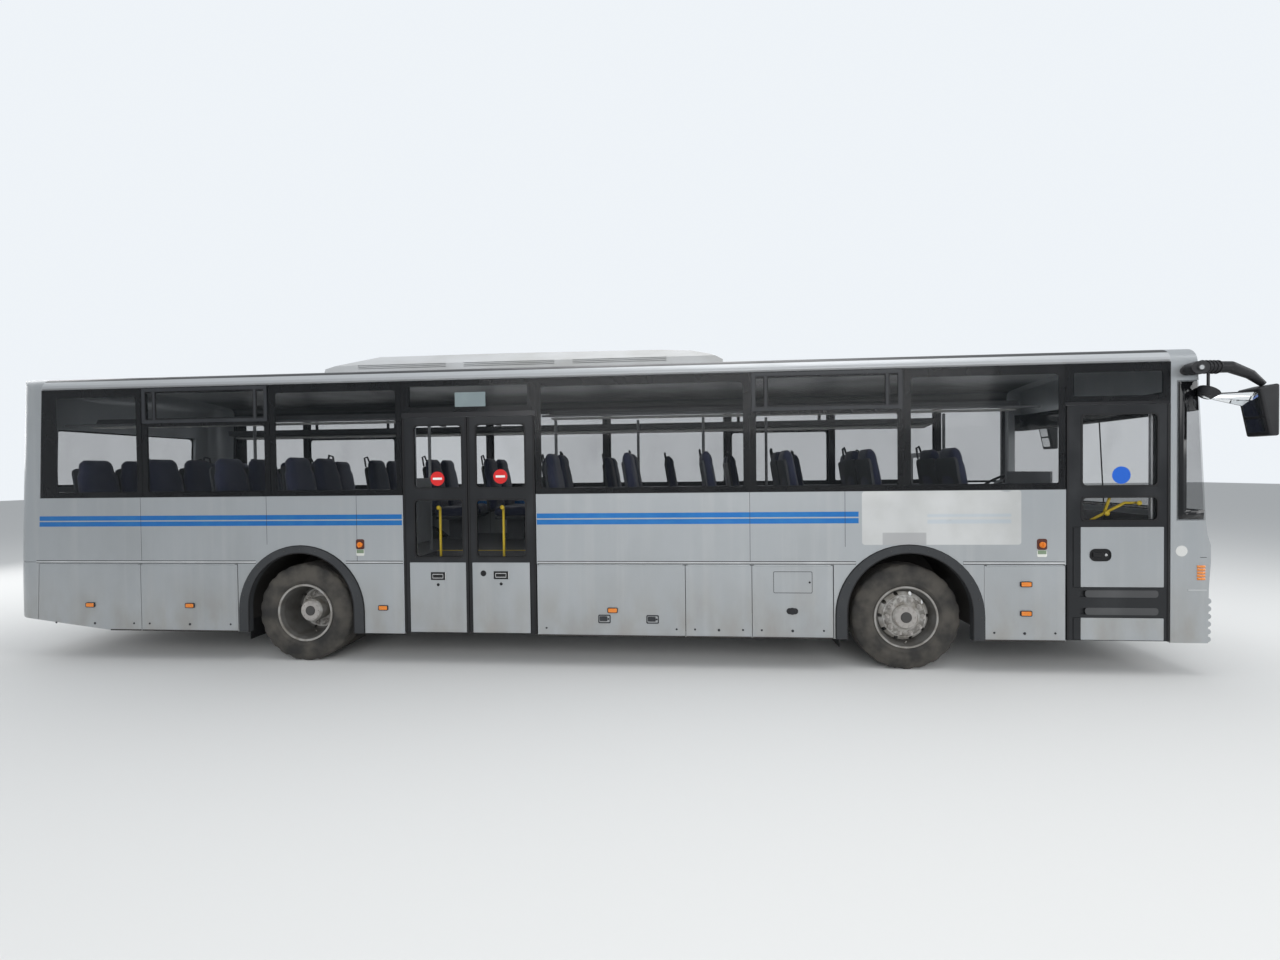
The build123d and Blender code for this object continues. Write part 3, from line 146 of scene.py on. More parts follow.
def area_lamp(name, place, target, size, power, colour=(1, 1, 1)):
    """Broad rectangular lamp that faces a point."""
    lamp = bpy.data.lights.new(name, "AREA")
    lamp.shape = "RECTANGLE"
    lamp.size, lamp.size_y = size
    lamp.energy = power
    lamp.color = colour
    obj = bpy.data.objects.new(name, lamp)
    scene.collection.objects.link(obj)
    aim = Vector(target) - Vector(place)
    obj.matrix_world = Matrix.Translation(place) @ aim.to_track_quat("-Z", "Y").to_matrix().to_4x4()
    return obj


area_lamp("lamp_above", (2.0, 1.0, 11.0), (0.0, 0.0, 1.0), (16.0, 8.0), 850.0)
area_lamp("lamp_kerb", (2.0, -13.0, 6.0), (0.0, 0.0, 1.2), (16.0, 6.0), 720.0)
area_lamp("lamp_far", (-3.0, 13.0, 7.0), (0.0, 0.0, 1.2), (16.0, 6.0), 560.0)
area_lamp("lamp_front", (13.0, -3.0, 5.0), (5.0, 0.0, 1.2), (6.0, 6.0), 230.0)
area_lamp("lamp_rear", (-13.0, 2.0, 5.0), (-5.0, 0.0, 1.2), (6.0, 6.0), 260.0)

floor_mesh = bpy.data.meshes.new("floor")
floor_half = 60.0
floor_mesh.from_pydata([(-floor_half, -floor_half, 0), (floor_half, -floor_half, 0),
                        (floor_half, floor_half, 0),
                        (-floor_half, floor_half, 0)], [], [(0, 1, 2, 3)])
floor = bpy.data.objects.new("floor", floor_mesh)
scene.collection.objects.link(floor)
floor_finish = bpy.data.materials.new("pale_floor")
floor_finish.use_nodes = True
floor_shader = floor_finish.node_tree.nodes["Principled BSDF"]
floor_shader.inputs["Base Color"].default_value = (0.72, 0.72, 0.71, 1)
floor_shader.inputs["Roughness"].default_value = 0.85
floor_mesh.materials.append(floor_finish)
print("world, lamps and floor are set")

# %% [markdown]
# Every finish below is a small node tree. A short helper class names the few nodes
# that they share: noise for dirt, ranges for edges, boxes in the bus's own
# coordinates for paint lines, and bump for small relief. Patterns read Object
# coordinates, so they stay where they are when the camera or a door moves.

# %% Helper for finishes
class Finish:
    """A material with one principled shader, and short names for the nodes that feed it."""

    def __init__(self, name, colour, roughness, metallic=0.0):
        self.material = bpy.data.materials.new(name)
        self.material.use_nodes = True
        self.tree = self.material.node_tree
        self.shader = self.tree.nodes["Principled BSDF"]
        self.set("Base Color", (*colour, 1))
        self.set("Roughness", roughness)
        self.set("Metallic", metallic)
        self.coords = self.add("ShaderNodeTexCoord").outputs["Object"]
        split = self.add("ShaderNodeSeparateXYZ")
        self.tree.links.new(self.coords, split.inputs[0])
        self.x, self.y, self.z = split.outputs

    def add(self, kind, **settings):
        node = self.tree.nodes.new(kind)
        for key, value in settings.items():
            setattr(node, key, value)
        return node

    def feed(self, socket, value):
        if isinstance(value, bpy.types.NodeSocket):
            self.tree.links.new(value, socket)
        else:
            socket.default_value = value

    def set(self, name, value):
        self.feed(self.shader.inputs[name], value)

    def maths(self, operation, a, b=0.0, clamp=False):
        node = self.add("ShaderNodeMath", operation=operation, use_clamp=clamp)
        self.feed(node.inputs[0], a)
        self.feed(node.inputs[1], b)
        return node.outputs[0]

    def noise(self, scale, detail=4.0, stretch=(1, 1, 1)):
        mapping = self.add("ShaderNodeMapping")
        self.tree.links.new(self.coords, mapping.inputs[0])
        mapping.inputs["Scale"].default_value = stretch
        node = self.add("ShaderNodeTexNoise")
        self.tree.links.new(mapping.outputs[0], node.inputs["Vector"])
        node.inputs["Scale"].default_value = scale
        node.inputs["Detail"].default_value = detail
        return node.outputs[0]

    def ramp(self, value, low, high):
        """0 below low, 1 above high, and smooth between."""
        node = self.add("ShaderNodeMapRange", interpolation_type="SMOOTHSTEP")
        self.feed(node.inputs["Value"], value)
        node.inputs["From Min"].default_value = low
        node.inputs["From Max"].default_value = high
        return node.outputs[0]

    def mix(self, factor, a, b):
        node = self.add("ShaderNodeMix", data_type="RGBA")
        self.feed(node.inputs[0], factor)
        for socket, value in ((node.inputs[6], a), (node.inputs[7], b)):
            if isinstance(value, tuple) and len(value) == 3:
                value = (*value, 1)
            self.feed(socket, value)
        return node.outputs[2]

    def band(self, value, low, high, soft=0.0015):
        """1 between two values and 0 outside them."""
        above = self.ramp(value, low - soft, low + soft)
        below = self.ramp(value, high - soft, high + soft)
        return self.maths("SUBTRACT", above, below, clamp=True)

    def patch(self, x0, x1, z0, z1, soft=0.0015):
        """1 inside a box seen from the side of the bus."""
        return self.maths("MULTIPLY", self.band(self.x, x0, x1, soft), self.band(self.z, z0, z1, soft))

    def soft_box(self, x0, x1, z0, z1, radius):
        """1 inside a box with rounded corners, seen from the side of the bus."""
        squares = []
        for value, low, high in ((self.x, x0, x1), (self.z, z0, z1)):
            off = self.maths("ABSOLUTE", self.maths("SUBTRACT", value, (low + high) / 2))
            past = self.maths("MAXIMUM", self.maths("SUBTRACT", off, (high - low) / 2 - radius), 0.0)
            squares.append(self.maths("MULTIPLY", past, past))
        distance = self.maths("SQRT", self.maths("ADD", squares[0], squares[1]))
        return self.maths("SUBTRACT", 1.0, self.ramp(distance, radius - 0.001, radius + 0.001))

    def any_of(self, masks):
        total = masks[0]
        for mask in masks[1:]:
            total = self.maths("MAXIMUM", total, mask)
        return total

    def relief(self, height, distance, strength=1.0):
        node = self.add("ShaderNodeBump")
        node.inputs["Distance"].default_value = distance
        node.inputs["Strength"].default_value = strength
        self.feed(node.inputs["Height"], height)
        self.tree.links.new(node.outputs[0], self.shader.inputs["Normal"])


def at(station):
    """X of a place given in metres ahead of the rear axle."""
    return AX + station


def dress(node_name, finish):
    """Give a node of the frame its finish."""
    obj = nodes[node_name]
    obj.data.materials.clear()
    obj.data.materials.append(finish.material)


# %% [markdown]
# The body is silver metallic paint that has gone dull: grey patches, faint vertical
# streaks where rain ran down, and road dust that thickens towards the skirt. Two thin
# blue stripes run below the windows, and a pale faded patch shows where a poster was.
# Panel seams are thin dark lines. All of it is painted by one function, so that the
# walls, flaps and masks age in the same way.

# %% Body paint
WAIST = 1.030
SILL = 1.735
GUTTER = 2.890
SKIRT = 0.317
silver = (0.40, 0.42, 0.435)
dull_silver = (0.335, 0.35, 0.36)
dust = (0.30, 0.275, 0.235)
seam_dark = (0.025, 0.025, 0.027)
stripe_blue = (0.010, 0.150, 0.46)
stripe_z = [(1.426, 1.476), (1.489, 1.538)]


def body_paint(name, stripes=(), seams_x=(), seams_z=(), black_above=None, pale_patch=None):
    """Aged silver paint with its lines. Stripes are pairs of stations, seams are
    (station, low, high) and (height, first station, last station)."""
    f = Finish(name, silver, 0.36, 0.45)
    patches = f.ramp(f.noise(1.3, 6.0, (1, 1, 0.6)), 0.40, 0.68)
    streaks = f.ramp(f.noise(9.0, 5.0, (1.2, 1.2, 0.05)), 0.46, 0.74)
    fine = f.noise(60.0, 3.0)
    low = f.maths("MULTIPLY", f.ramp(f.z, 0.35, 1.05), -1.0)
    low = f.maths("ADD", low, 1.0, clamp=True)
    colour = f.mix(f.maths("MULTIPLY", patches, 0.65), silver, dull_silver)
    colour = f.mix(f.maths("MULTIPLY", streaks, 0.30), colour, (0.47, 0.48, 0.48))
    dark_patches = f.maths("MULTIPLY", low, f.ramp(f.noise(4.0, 6.0, (1, 1, 0.5)), 0.30, 0.75))
    colour = f.mix(f.maths("MULTIPLY", dark_patches, 0.55), colour, dust)
    if stripes:
        bands = []
        for s0, s1 in stripes:
            for z0, z1 in stripe_z:
                bands.append(f.patch(at(s0), at(s1), z0, z1, 0.0008))
        blue = f.mix(f.ramp(f.noise(7.0, 4.0), 0.35, 0.75), stripe_blue, (0.018, 0.175, 0.46))
        colour = f.mix(f.any_of(bands), colour, blue)
    if pale_patch:
        s0, s1, z0, z1 = pale_patch
        worn = f.ramp(f.noise(5.0, 8.0, (0.6, 1, 1.5)), 0.66, 0.70)
        keep = f.maths("SUBTRACT", 1.0, f.maths("MULTIPLY", worn, 0.7))
        pale = f.mix(f.ramp(f.noise(3.0, 5.0), 0.35, 0.7), (0.60, 0.605, 0.60), (0.54, 0.545, 0.535))
        ghost = f.patch(at(s0) + 0.19, at(s0) + 0.59, z0 - 0.01, z0 + 0.115, 0.006)
        pale = f.mix(f.maths("MULTIPLY", ghost, 0.8), pale, (0.38, 0.38, 0.385))
        faded = f.any_of([f.patch(at(s0) + 0.60, at(s1) - 0.09, z0 + 0.262, z0 + 0.290, 0.010),
                          f.patch(at(s0) + 0.60, at(s1) - 0.09, z0 + 0.200, z0 + 0.238, 0.010)])
        pale = f.mix(f.maths("MULTIPLY", faded, 0.35), pale, (0.36, 0.47, 0.58))
        area = f.soft_box(at(s0), at(s1), z0, z1, 0.028)
        colour = f.mix(f.maths("MULTIPLY", area, keep), colour, pale)
    lines = []
    for s, z0, z1 in seams_x:
        lines.append(f.patch(at(s) - 0.0022, at(s) + 0.0022, z0, z1, 0.0006))
    for z, s0, s1 in seams_z:
        lines.append(f.patch(at(s0), at(s1), z - 0.0022, z + 0.0022, 0.0006))
    if lines:
        colour = f.mix(f.maths("MULTIPLY", f.any_of(lines), 0.9), colour, seam_dark)
    roughness = f.maths("ADD", 0.30, f.maths("MULTIPLY", f.maths("ADD", patches, dark_patches), 0.16))
    if black_above is not None:
        black = f.ramp(f.z, black_above - 0.001, black_above + 0.001)
        colour = f.mix(black, colour, (0.012, 0.012, 0.014))
    f.set("Base Color", colour)
    f.set("Roughness", roughness)
    f.set("Coat Weight", 0.25)
    f.set("Coat Roughness", 0.18)
    f.relief(f.maths("ADD", f.maths("MULTIPLY", f.noise(2.2, 2.0), 1.0), f.maths("MULTIPLY", fine, 0.03)),
             0.004, 0.35)
    return f


right_seams = [(-1.78, WAIST, SILL), (-0.364, 1.23, SILL), (0.616, WAIST, SILL), (4.602, WAIST, SILL),
               (5.5, 1.2, SILL)]
left_seams = [(-1.78, WAIST, SILL), (0.0, 1.23, SILL), (1.11, WAIST, SILL), (2.86, WAIST, SILL),
              (4.602, WAIST, SILL), (7.494, WAIST, SILL)]
paint_right = body_paint("silver_right", stripes=[(-2.99, 1.10), (2.50, 5.626)], seams_x=right_seams,
                         black_above=SILL - 0.004, pale_patch=(5.657, 7.101, 1.22, 1.73))
paint_left = body_paint("silver_left", stripes=[(-2.99, 7.49)], seams_x=left_seams, black_above=SILL - 0.004)
paint_plain = body_paint("silver_plain")
dress("side_wall_right", paint_right)
dress("side_wall_left", paint_left)
flap_names = [n for n in nodes if "flap" in n]
for n in flap_names + ["front_mask", "front_bumper", "engine_lid"]:
    dress(n, paint_plain)
print("paint on", 5 + len(flap_names), "panels")

# %% [markdown]
# The rear mask gets the same aged silver paint; the black frame of its back window is
# draped on later. The roof is painted paler than the sides and is matt with age. Its
# cove carries less dirt than the top, and the pale roof colour and clean cove are partly
# painted highlight where the cove catches the light; a grey band at the foot of the cove
# is painted shade.

# %% Rear mask and roof paint
rear_paint = body_paint("silver_tail")
roof_finish = Finish("roof_paint", (0.50, 0.515, 0.53), 0.42, 0.30)
roof_dirt = roof_finish.ramp(roof_finish.noise(1.6, 6.0, (0.7, 1, 1)), 0.40, 0.72)
roof_top_mask = roof_finish.ramp(roof_finish.z, 3.005, 3.045)
# The cove is kept cleaner and paler than the top: partly real dirt on the top, partly painted highlight on
# the cove
roof_grey = roof_finish.maths("MULTIPLY", roof_dirt, roof_finish.maths("ADD", 0.25, roof_finish.maths(
    "MULTIPLY", roof_top_mask, 0.5)))
roof_colour = roof_finish.mix(roof_grey, (0.50, 0.515, 0.53), (0.34, 0.34, 0.33))
# Painted shade: a grey band at the foot of the cove
cove_foot_shade = roof_finish.band(roof_finish.z, 2.885, 2.935, 0.004)
roof_colour = roof_finish.mix(roof_finish.maths("MULTIPLY", cove_foot_shade, 0.55), roof_colour,
                              (0.36, 0.37, 0.38))
# The cabin's lining is the inner face of the shell: below its top skin and inside its sides
inside_y = roof_finish.band(roof_finish.y, side_y + 0.035, -side_y - 0.035, 0.004)
lining = roof_finish.maths("MULTIPLY", inside_y, roof_finish.maths("SUBTRACT", 1.0, roof_top_mask))
roof_finish.set("Base Color", roof_finish.mix(lining, roof_colour, (0.050, 0.051, 0.053)))
roof_finish.set("Roughness", roof_finish.maths("ADD", 0.32, roof_finish.maths("MULTIPLY", roof_dirt, 0.25)))
roof_finish.relief(roof_finish.noise(14.0, 3.0), 0.002, 0.3)
dress("rear_mask", rear_paint)
dress("roof_shell", roof_finish)

unit_finish = Finish("roof_unit_plastic", (0.60, 0.61, 0.62), 0.5, 0.0)
unit_dirt = unit_finish.ramp(unit_finish.noise(2.0, 7.0, (0.5, 1, 1)), 0.35, 0.75)
unit_finish.set("Base Color", unit_finish.mix(unit_dirt, (0.54, 0.55, 0.56), (0.40, 0.40, 0.385)))
unit_finish.relief(unit_finish.noise(90.0, 2.0), 0.0015, 0.3)
dress("roof_air_unit", unit_finish)
print("roof and tail painted")

# %% [markdown]
# Plain finishes: black moulded plastic, rubber, glass, chassis paint, cast metal,
# floor covering, cloth, rails and alloy. Glass is a thin smoked sheet. It lets the
# light through by its alpha, so the cabin is lit without long glass paths.

# %% Plain finishes
def moulded(name, colour, roughness=0.55, grain=120.0, depth=0.0006):
    """Plastic or rubber with a fine grain and dust in patches."""
    f = Finish(name, colour, roughness)
    dusty = f.ramp(f.noise(3.0, 7.0, (1, 1, 0.7)), 0.42, 0.80)
    pale = tuple(min(1.0, c * 1.5 + 0.010) for c in colour)
    f.set("Base Color", f.mix(f.maths("MULTIPLY", dusty, 0.6), colour, pale))
    f.set("Roughness", f.maths("ADD", roughness - 0.05, f.maths("MULTIPLY", dusty, 0.18)))
    f.set("Specular IOR Level", 0.28)
    f.relief(f.noise(grain, 2.0), depth, 0.5)
    return f


def glass_finish(name, tint, alpha, roughness=0.03):
    f = Finish(name, tint, roughness)
    haze = f.ramp(f.noise(2.4, 6.0, (1, 1, 0.5)), 0.45, 0.85)
    f.set("Roughness", f.maths("ADD", roughness, f.maths("MULTIPLY", haze, 0.05)))
    f.set("Alpha", f.maths("ADD", alpha, f.maths("MULTIPLY", haze, 0.04)))
    f.set("IOR", 1.5)
    f.set("Specular IOR Level", 0.35)
    return f


smoked_glass = glass_finish("smoked_glass", (0.012, 0.015, 0.017), 0.19)
door_glass = glass_finish("door_glass", (0.02, 0.024, 0.026), 0.10)
black_plastic = moulded("black_plastic", (0.020, 0.020, 0.022), 0.42)
flare_plastic = moulded("flare_plastic", (0.038, 0.040, 0.043), 0.50)
rubber = moulded("rubber_seal", (0.012, 0.012, 0.013), 0.6)
charcoal = moulded("charcoal_frame", (0.032, 0.034, 0.038), 0.38, 60.0, 0.0003)
frit = moulded("black_frit", (0.006, 0.006, 0.007), 0.30, 200.0, 0.0001)
chassis_paint = moulded("chassis_paint", (0.028, 0.026, 0.024), 0.62, 40.0, 0.002)
cast_metal = moulded("oily_casting", (0.045, 0.036, 0.028), 0.45, 30.0, 0.003)
floor_cover = moulded("floor_covering", (0.10, 0.10, 0.105), 0.7, 240.0, 0.001)
cabin_plastic = moulded("cabin_plastic", (0.11, 0.11, 0.115), 0.6)
rack_plastic = moulded("rack_plastic", (0.060, 0.061, 0.065), 0.55)
rail_paint = moulded("rail_paint", (0.62, 0.44, 0.03), 0.35, 80.0, 0.0002)
grey_rail = moulded("grey_rail", (0.26, 0.27, 0.28), 0.35, 80.0, 0.0002)
alloy = Finish("satin_alloy", (0.55, 0.56, 0.57), 0.35, 0.9)
alloy.set("Roughness",
          alloy.maths("ADD", 0.28, alloy.maths("MULTIPLY", alloy.noise(40.0, 4.0, (1, 1, 0.1)), 0.2)))
for node_name, finish in {
        "body_glass": smoked_glass, "windscreen": smoked_glass, "front_door_glass": door_glass,
        "mid_door_rear_glass": door_glass, "mid_door_front_glass": door_glass, "hopper_frames": charcoal,
        "arch_flares": flare_plastic, "mirrors": black_plastic, "wipers": black_plastic,
        "underframe": chassis_paint, "towing_lugs": chassis_paint, "wheel_housings": chassis_paint,
        "front_axle": chassis_paint, "rear_axle": cast_metal, "track_rod": chassis_paint,
        "engine_block": cast_metal, "knuckle_right": cast_metal, "knuckle_left": cast_metal,
        "floor_deck": floor_cover, "step_wells": floor_cover, "luggage_bays": cabin_plastic,
        "dashboard": cabin_plastic, "luggage_racks": rack_plastic,
        "handrails": grey_rail, "steering_wheel": black_plastic}.items():
    dress(node_name, finish)
for name in ("front_door", "mid_door_rear", "mid_door_front"):
    dress(name + "_arms", alloy)
print("plain finishes on", len(nodes), "nodes")

# %% [markdown]
# Trim is built with bmesh from outlines. An outline is a list of 2-D points, and a
# small function says where the outline stands: on the right side, the left side, the
# nose or the tail. Each group of trim becomes one mesh that rides on one body.

# %% Helpers for trim
def right_side(u, v, w):
    """Place on the kerb side: u forward, v up, w out of the side."""
    return Vector((u, side_y - w, v))


def left_side(u, v, w):
    return Vector((u, -side_y + w, v))


def rounded(x0, x1, z0, z1, radius, steps=5):
    """Outline of a rectangle with rounded corners, anticlockwise."""
    radius = min(radius, (x1 - x0) / 2 - 1e-5, (z1 - z0) / 2 - 1e-5)
    out = []
    centres = [(x1 - radius, z0 + radius, -90), (x1 - radius, z1 - radius, 0), (x0 + radius, z1 - radius, 90),
               (x0 + radius, z0 + radius, 180)]
    for cx, cz, start in centres:
        for n in range(steps + 1):
            angle = math.radians(start + 90 * n / steps)
            out.append((cx + radius * math.cos(angle), cz + radius * math.sin(angle)))
    return out


def circle(cx, cz, radius, count=32):
    return [(cx + radius * math.cos(2 * math.pi * n / count), cz + radius * math.sin(2 * math.pi * n / count))
            for n in range(count)]


def plate(bm, outline, place, w0, w1, chamfer=0.0):
    """Solid plate with an outline, from depth w0 to w1, its outer edge chamfered."""
    count = len(outline)
    layers = [(w0, 0.0), (w1 - chamfer, 0.0)]
    if chamfer:
        layers.append((w1, chamfer))
    cx = sum(p[0] for p in outline) / count
    cz = sum(p[1] for p in outline) / count
    rows = []
    for depth, shrink in layers:
        row = []
        for u, v in outline:
            length = math.hypot(u - cx, v - cz)
            share = max(0.0, 1.0 - shrink / length)
            row.append(bm.verts.new(place(cx + (u - cx) * share, cz + (v - cz) * share, depth)))
        rows.append(row)
    faces = [bm.faces.new(rows[0]), bm.faces.new(rows[-1])]
    for low, high in zip(rows, rows[1:]):
        for n in range(count):
            m = (n + 1) % count
            faces.append(bm.faces.new((low[n], low[m], high[m], high[n])))
    return faces


def frame_ring(bm, outer, inner, place, w0, w1):
    """Flat frame between two outlines with as many points."""
    count = len(outer)
    corners = []
    for outline, depth in ((outer, w0), (outer, w1), (inner, w1), (inner, w0)):
        corners.append([bm.verts.new(place(u, v, depth)) for u, v in outline])
    for n in range(count):
        m = (n + 1) % count
        for a, b in zip(corners, corners[1:] + corners[:1]):
            bm.faces.new((a[n], a[m], b[m], b[n]))


def tube(bm, points, radius, sides=10, closed=False):
    """Round bar along a list of points."""
    points = [Vector(p) for p in points]
    count = len(points)
    rings = []
    normal = None
    for n, point in enumerate(points):
        before = points[(n - 1) % count] if closed or n else points[n]
        after = points[(n + 1) % count] if closed or n < count - 1 else points[n]
        along = (after - before).normalized()
        if normal is None:
            normal = along.orthogonal().normalized()
        normal = (normal - along * normal.dot(along)).normalized()
        other = along.cross(normal)
        rings.append([bm.verts.new(point + radius * (math.cos(2 * math.pi * k / sides) * normal
                                                     + math.sin(2 * math.pi * k / sides) * other))
                      for k in range(sides)])
    pairs = list(zip(rings, rings[1:]))
    if closed:
        pairs.append((rings[-1], rings[0]))
    for a, b in pairs:
        for k in range(sides):
            m = (k + 1) % sides
            bm.faces.new((a[k], a[m], b[m], b[k]))
    if not closed:
        bm.faces.new(rings[0])
        bm.faces.new(rings[-1])


def brick(bm, low, high):
    """Box between two corners."""
    x0, y0, z0 = low
    x1, y1, z1 = high
    plate(bm, [(x0, z0), (x1, z0), (x1, z1), (x0, z1)], lambda u, v, w: Vector((u, w, v)), y0, y1)


def piece(name, bm, finish, body, smooth=False, bevel=0.0):
    """Turn a bmesh into a finished piece that rides on a body."""
    bmesh.ops.recalc_face_normals(bm, faces=bm.faces)
    mesh = bpy.data.meshes.new(name)
    bm.to_mesh(mesh)
    bm.free()
    obj = bpy.data.objects.new(name, mesh)
    scene.collection.objects.link(obj)
    mesh.materials.append(finish.material)
    if bevel:
        mod = obj.modifiers.new("bevel", "BEVEL")
        mod.width = bevel
        mod.segments = 2
        mod.limit_method = "ANGLE"
    if smooth:
        for face in mesh.polygons:
            face.use_smooth = True
    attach(obj, body)
    return obj


body_of_node = {}
for body_name, members in frame["record"]["behaviour"]["bodies"].items():
    for member in members:
        body_of_node[member] = body_name

# %% [markdown]
# The bonded panes have a black border printed round them, which hides the pillars and
# the glue. It is modelled as thin frames inside the thickness of the glass, so that
# the glass still shines over them, and their inner corners are rounded.

# %% Black borders of the side windows
window_joints = [-2.925, -1.750, -0.310, 1.112, 2.494, 4.607, 6.050, 7.494]
pane_inset = 0.003
frit_depth = (-0.0045, -0.0035)
side_border = 0.062
low_border = 0.045
high_border = 0.085
clear_radius = 0.035
hopper_bays = (1, 5)
hopper_low = 2.512


def window_frit(bm, s0, s1, z0, z1, place, borders=(side_border, side_border, low_border, high_border)):
    rear, front, low, high = borders
    outer = rounded(at(s0) + pane_inset, at(s1) - pane_inset, z0, z1, 0.006)
    inner = rounded(at(s0) + rear, at(s1) - front, z0 + low, z1 - high, clear_radius)
    frame_ring(bm, outer, inner, place, *frit_depth)


for side, place, skipped in (("right", right_side, (3,)), ("left", left_side, ())):
    bm = bmesh.new()
    joints = list(window_joints)
    if side == "left":
        joints[4] = 2.860
    for n, (s0, s1) in enumerate(zip(joints, joints[1:])):
        if n in skipped:
            continue
        top = GUTTER - pane_inset
        if n in hopper_bays:
            top = hopper_low
        rear_border = side_border
        if n == 0:
            rear_border = 0.19
        high = 0.035 if n in hopper_bays else high_border
        window_frit(bm, s0, s1, SILL + pane_inset, top, place, (rear_border, side_border, low_border, high))
    if side == "left":
        window_frit(bm, 7.494, 8.396, SILL + pane_inset, GUTTER - pane_inset, place,
                    (0.06, 0.06, 0.03, 0.085))
    else:
        window_frit(bm, 1.112, 2.494, 2.572, GUTTER - pane_inset, place, (0.05, 0.05, 0.05, 0.05))
        window_frit(bm, 7.494, 8.396, 2.539, GUTTER - pane_inset, place, (0.06, 0.06, 0.05, 0.08))
    piece("window_borders_" + side, bm, frit, "root")
print("window borders made")

# %% [markdown]
# Four windows have an opening top. Its charcoal aluminium frame is in the source. Here
# it gets the long centre pane with its rubber seal between two small fixed panes, and
# the rail that the top hangs on.

# %% Opening tops of the windows
for side, place in (("right", right_side), ("left", left_side)):
    bm = bmesh.new()
    seal = bmesh.new()
    for s0, s1 in ((-1.750, -0.310), (4.607, 6.050)):
        x0, x1 = at(s0) + 0.020, at(s1) - 0.020
        z0, z1 = hopper_low, 2.882
        outer = rounded(x0, x1, z0, z1, 0.012)
        inner = rounded(x0 + 0.030, x1 - 0.030, z0 + 0.030, z1 - 0.030, 0.016)
        frame_ring(bm, outer, inner, place, -0.002, 0.0065)
        for edge in (x0 + 0.135, x1 - 0.135):
            plate(bm, rounded(edge - 0.011, edge + 0.011, z0 + 0.028, z1 - 0.028, 0.003), place, -0.003,
                  0.005, 0.002)
        for a, b in ((x0 + 0.030, x0 + 0.124), (x0 + 0.146, x1 - 0.146), (x1 - 0.124, x1 - 0.030)):
            ring_out = rounded(a, b, z0 + 0.030, z1 - 0.030, 0.014)
            ring_in = rounded(a + 0.010, b - 0.010, z0 + 0.040, z1 - 0.040, 0.020)
            frame_ring(seal, ring_out, ring_in, place, -0.003, 0.003)
        plate(bm, rounded(x0 + 0.15, x1 - 0.15, z0 + 0.006, z0 + 0.020, 0.004), place, 0.004, 0.010, 0.002)
    piece("opening_top_frames_" + side, bm, charcoal, "root")
    piece("opening_top_seals_" + side, seal, rubber, "root")
print("opening tops made")

# %% [markdown]
# The doors are black frames with silver panels let into them. The panels here are thin
# pressed sheets with a soft edge, one for each opening in the frame, and the glass has
# its own black border with rounded corners. Two grey rubber strips cross the front door.

# %% Doors
door_frame = moulded("door_frame", (0.016, 0.017, 0.019), 0.34, 90.0, 0.0003)
for name in ("front_door", "mid_door_rear", "mid_door_front"):
    dress(name, door_frame)
door_paint = body_paint("silver_doors", seams_x=())
strip_rubber = moulded("strip_rubber", (0.065, 0.066, 0.068), 0.6, 60.0, 0.0004)

# Columns: door, rear and front stations of its panels, heights of its panels, rear and
# front stations of its clear glass, heights of its clear glass
door_rows = [
    ("front_door", (7.622, 8.339), ((0.336, 0.541), (0.826, 1.382)), (7.634, 8.288),
     ((1.452, 1.650), (1.768, 2.414))),
    ("mid_door_rear", (1.177, 1.764), ((0.336, 1.046),), (1.242, 1.738), ((1.108, 1.676), (1.808, 2.430))),
    ("mid_door_front", (1.832, 2.422), ((0.336, 1.046),), (1.888, 2.382), ((1.108, 1.676), (1.808, 2.430))),
]
leaf_glass_depth = (-0.0095, -0.0085)
for name, panel_s, panel_z, glass_s, glass_z in door_rows:
    body = body_of_node[name]
    low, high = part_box(name)
    glass_low, glass_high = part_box(name + "_glass")
    bm = bmesh.new()
    for z0, z1 in panel_z:
        plate(bm, rounded(at(panel_s[0]), at(panel_s[1]), z0, z1, 0.006), right_side, -0.006, 0.0022, 0.002)
    piece(name + "_panels", bm, door_paint, body)
    if name == "front_door":
        bm = bmesh.new()
        for z0, z1 in ((0.569, 0.635), (0.731, 0.797)):
            plate(bm, rounded(at(7.660), at(8.293), z0, z1, 0.026), right_side, -0.004, 0.0024, 0.0015)
        piece("front_door_bumper_strips", bm, strip_rubber, body)
    bm = bmesh.new()
    heights = [(1.441, 1.658), (1.759, 2.421)] if name == "front_door" else [(1.099, 1.682), (1.800, 2.437)]
    for (z0, z1), (clear0, clear1) in zip(heights, glass_z):
        outer = rounded(glass_low.x, glass_high.x, z0, z1, 0.004)
        inner = rounded(at(glass_s[0]), at(glass_s[1]), clear0, clear1, 0.045)
        frame_ring(bm, outer, inner, right_side, *leaf_glass_depth)
    piece(name + "_glass_borders", bm, frit, body)
    bm = bmesh.new()
    for z0, z1 in heights:
        outer = rounded(glass_low.x - 0.010, glass_high.x + 0.010, z0 - 0.010, z1 + 0.010, 0.050)
        inner = rounded(glass_low.x + 0.006, glass_high.x - 0.006, z0 + 0.006, z1 - 0.006, 0.040)
        frame_ring(bm, outer, inner, right_side, -0.0055, 0.0025)
    edge_x = (low.x + 0.010, high.x - 0.010)
    for x in edge_x:
        plate(bm, rounded(x - 0.009, x + 0.009, low.z + 0.004, high.z - 0.004, 0.004), right_side, -0.002,
              0.004, 0.003)
    piece(name + "_seals", bm, rubber, body)
print("doors dressed")

# %% [markdown]
# The tyres are turned from one profile. Four grooves run round the tread, notches are
# pressed into the shoulders, and low rings stand on the sidewalls. Road dust turns the
# rubber brown in patches.

# %% Tyres
tyre_finish = Finish("dusty_tyre", (0.045, 0.042, 0.040), 0.82)
tyre_dust = tyre_finish.ramp(tyre_finish.noise(5.0, 7.0), 0.30, 0.72)
tyre_finish.set("Base Color", tyre_finish.mix(tyre_dust, (0.024, 0.023, 0.022), (0.082, 0.074, 0.063)))
tyre_finish.relief(tyre_finish.noise(160.0, 3.0), 0.0012, 0.5)

tyre_half_width = 0.1375
tread_half_width = 0.098
groove_depth = 0.010
groove_half = 0.0045
groove_centres = [-0.066, -0.022, 0.022, 0.066]
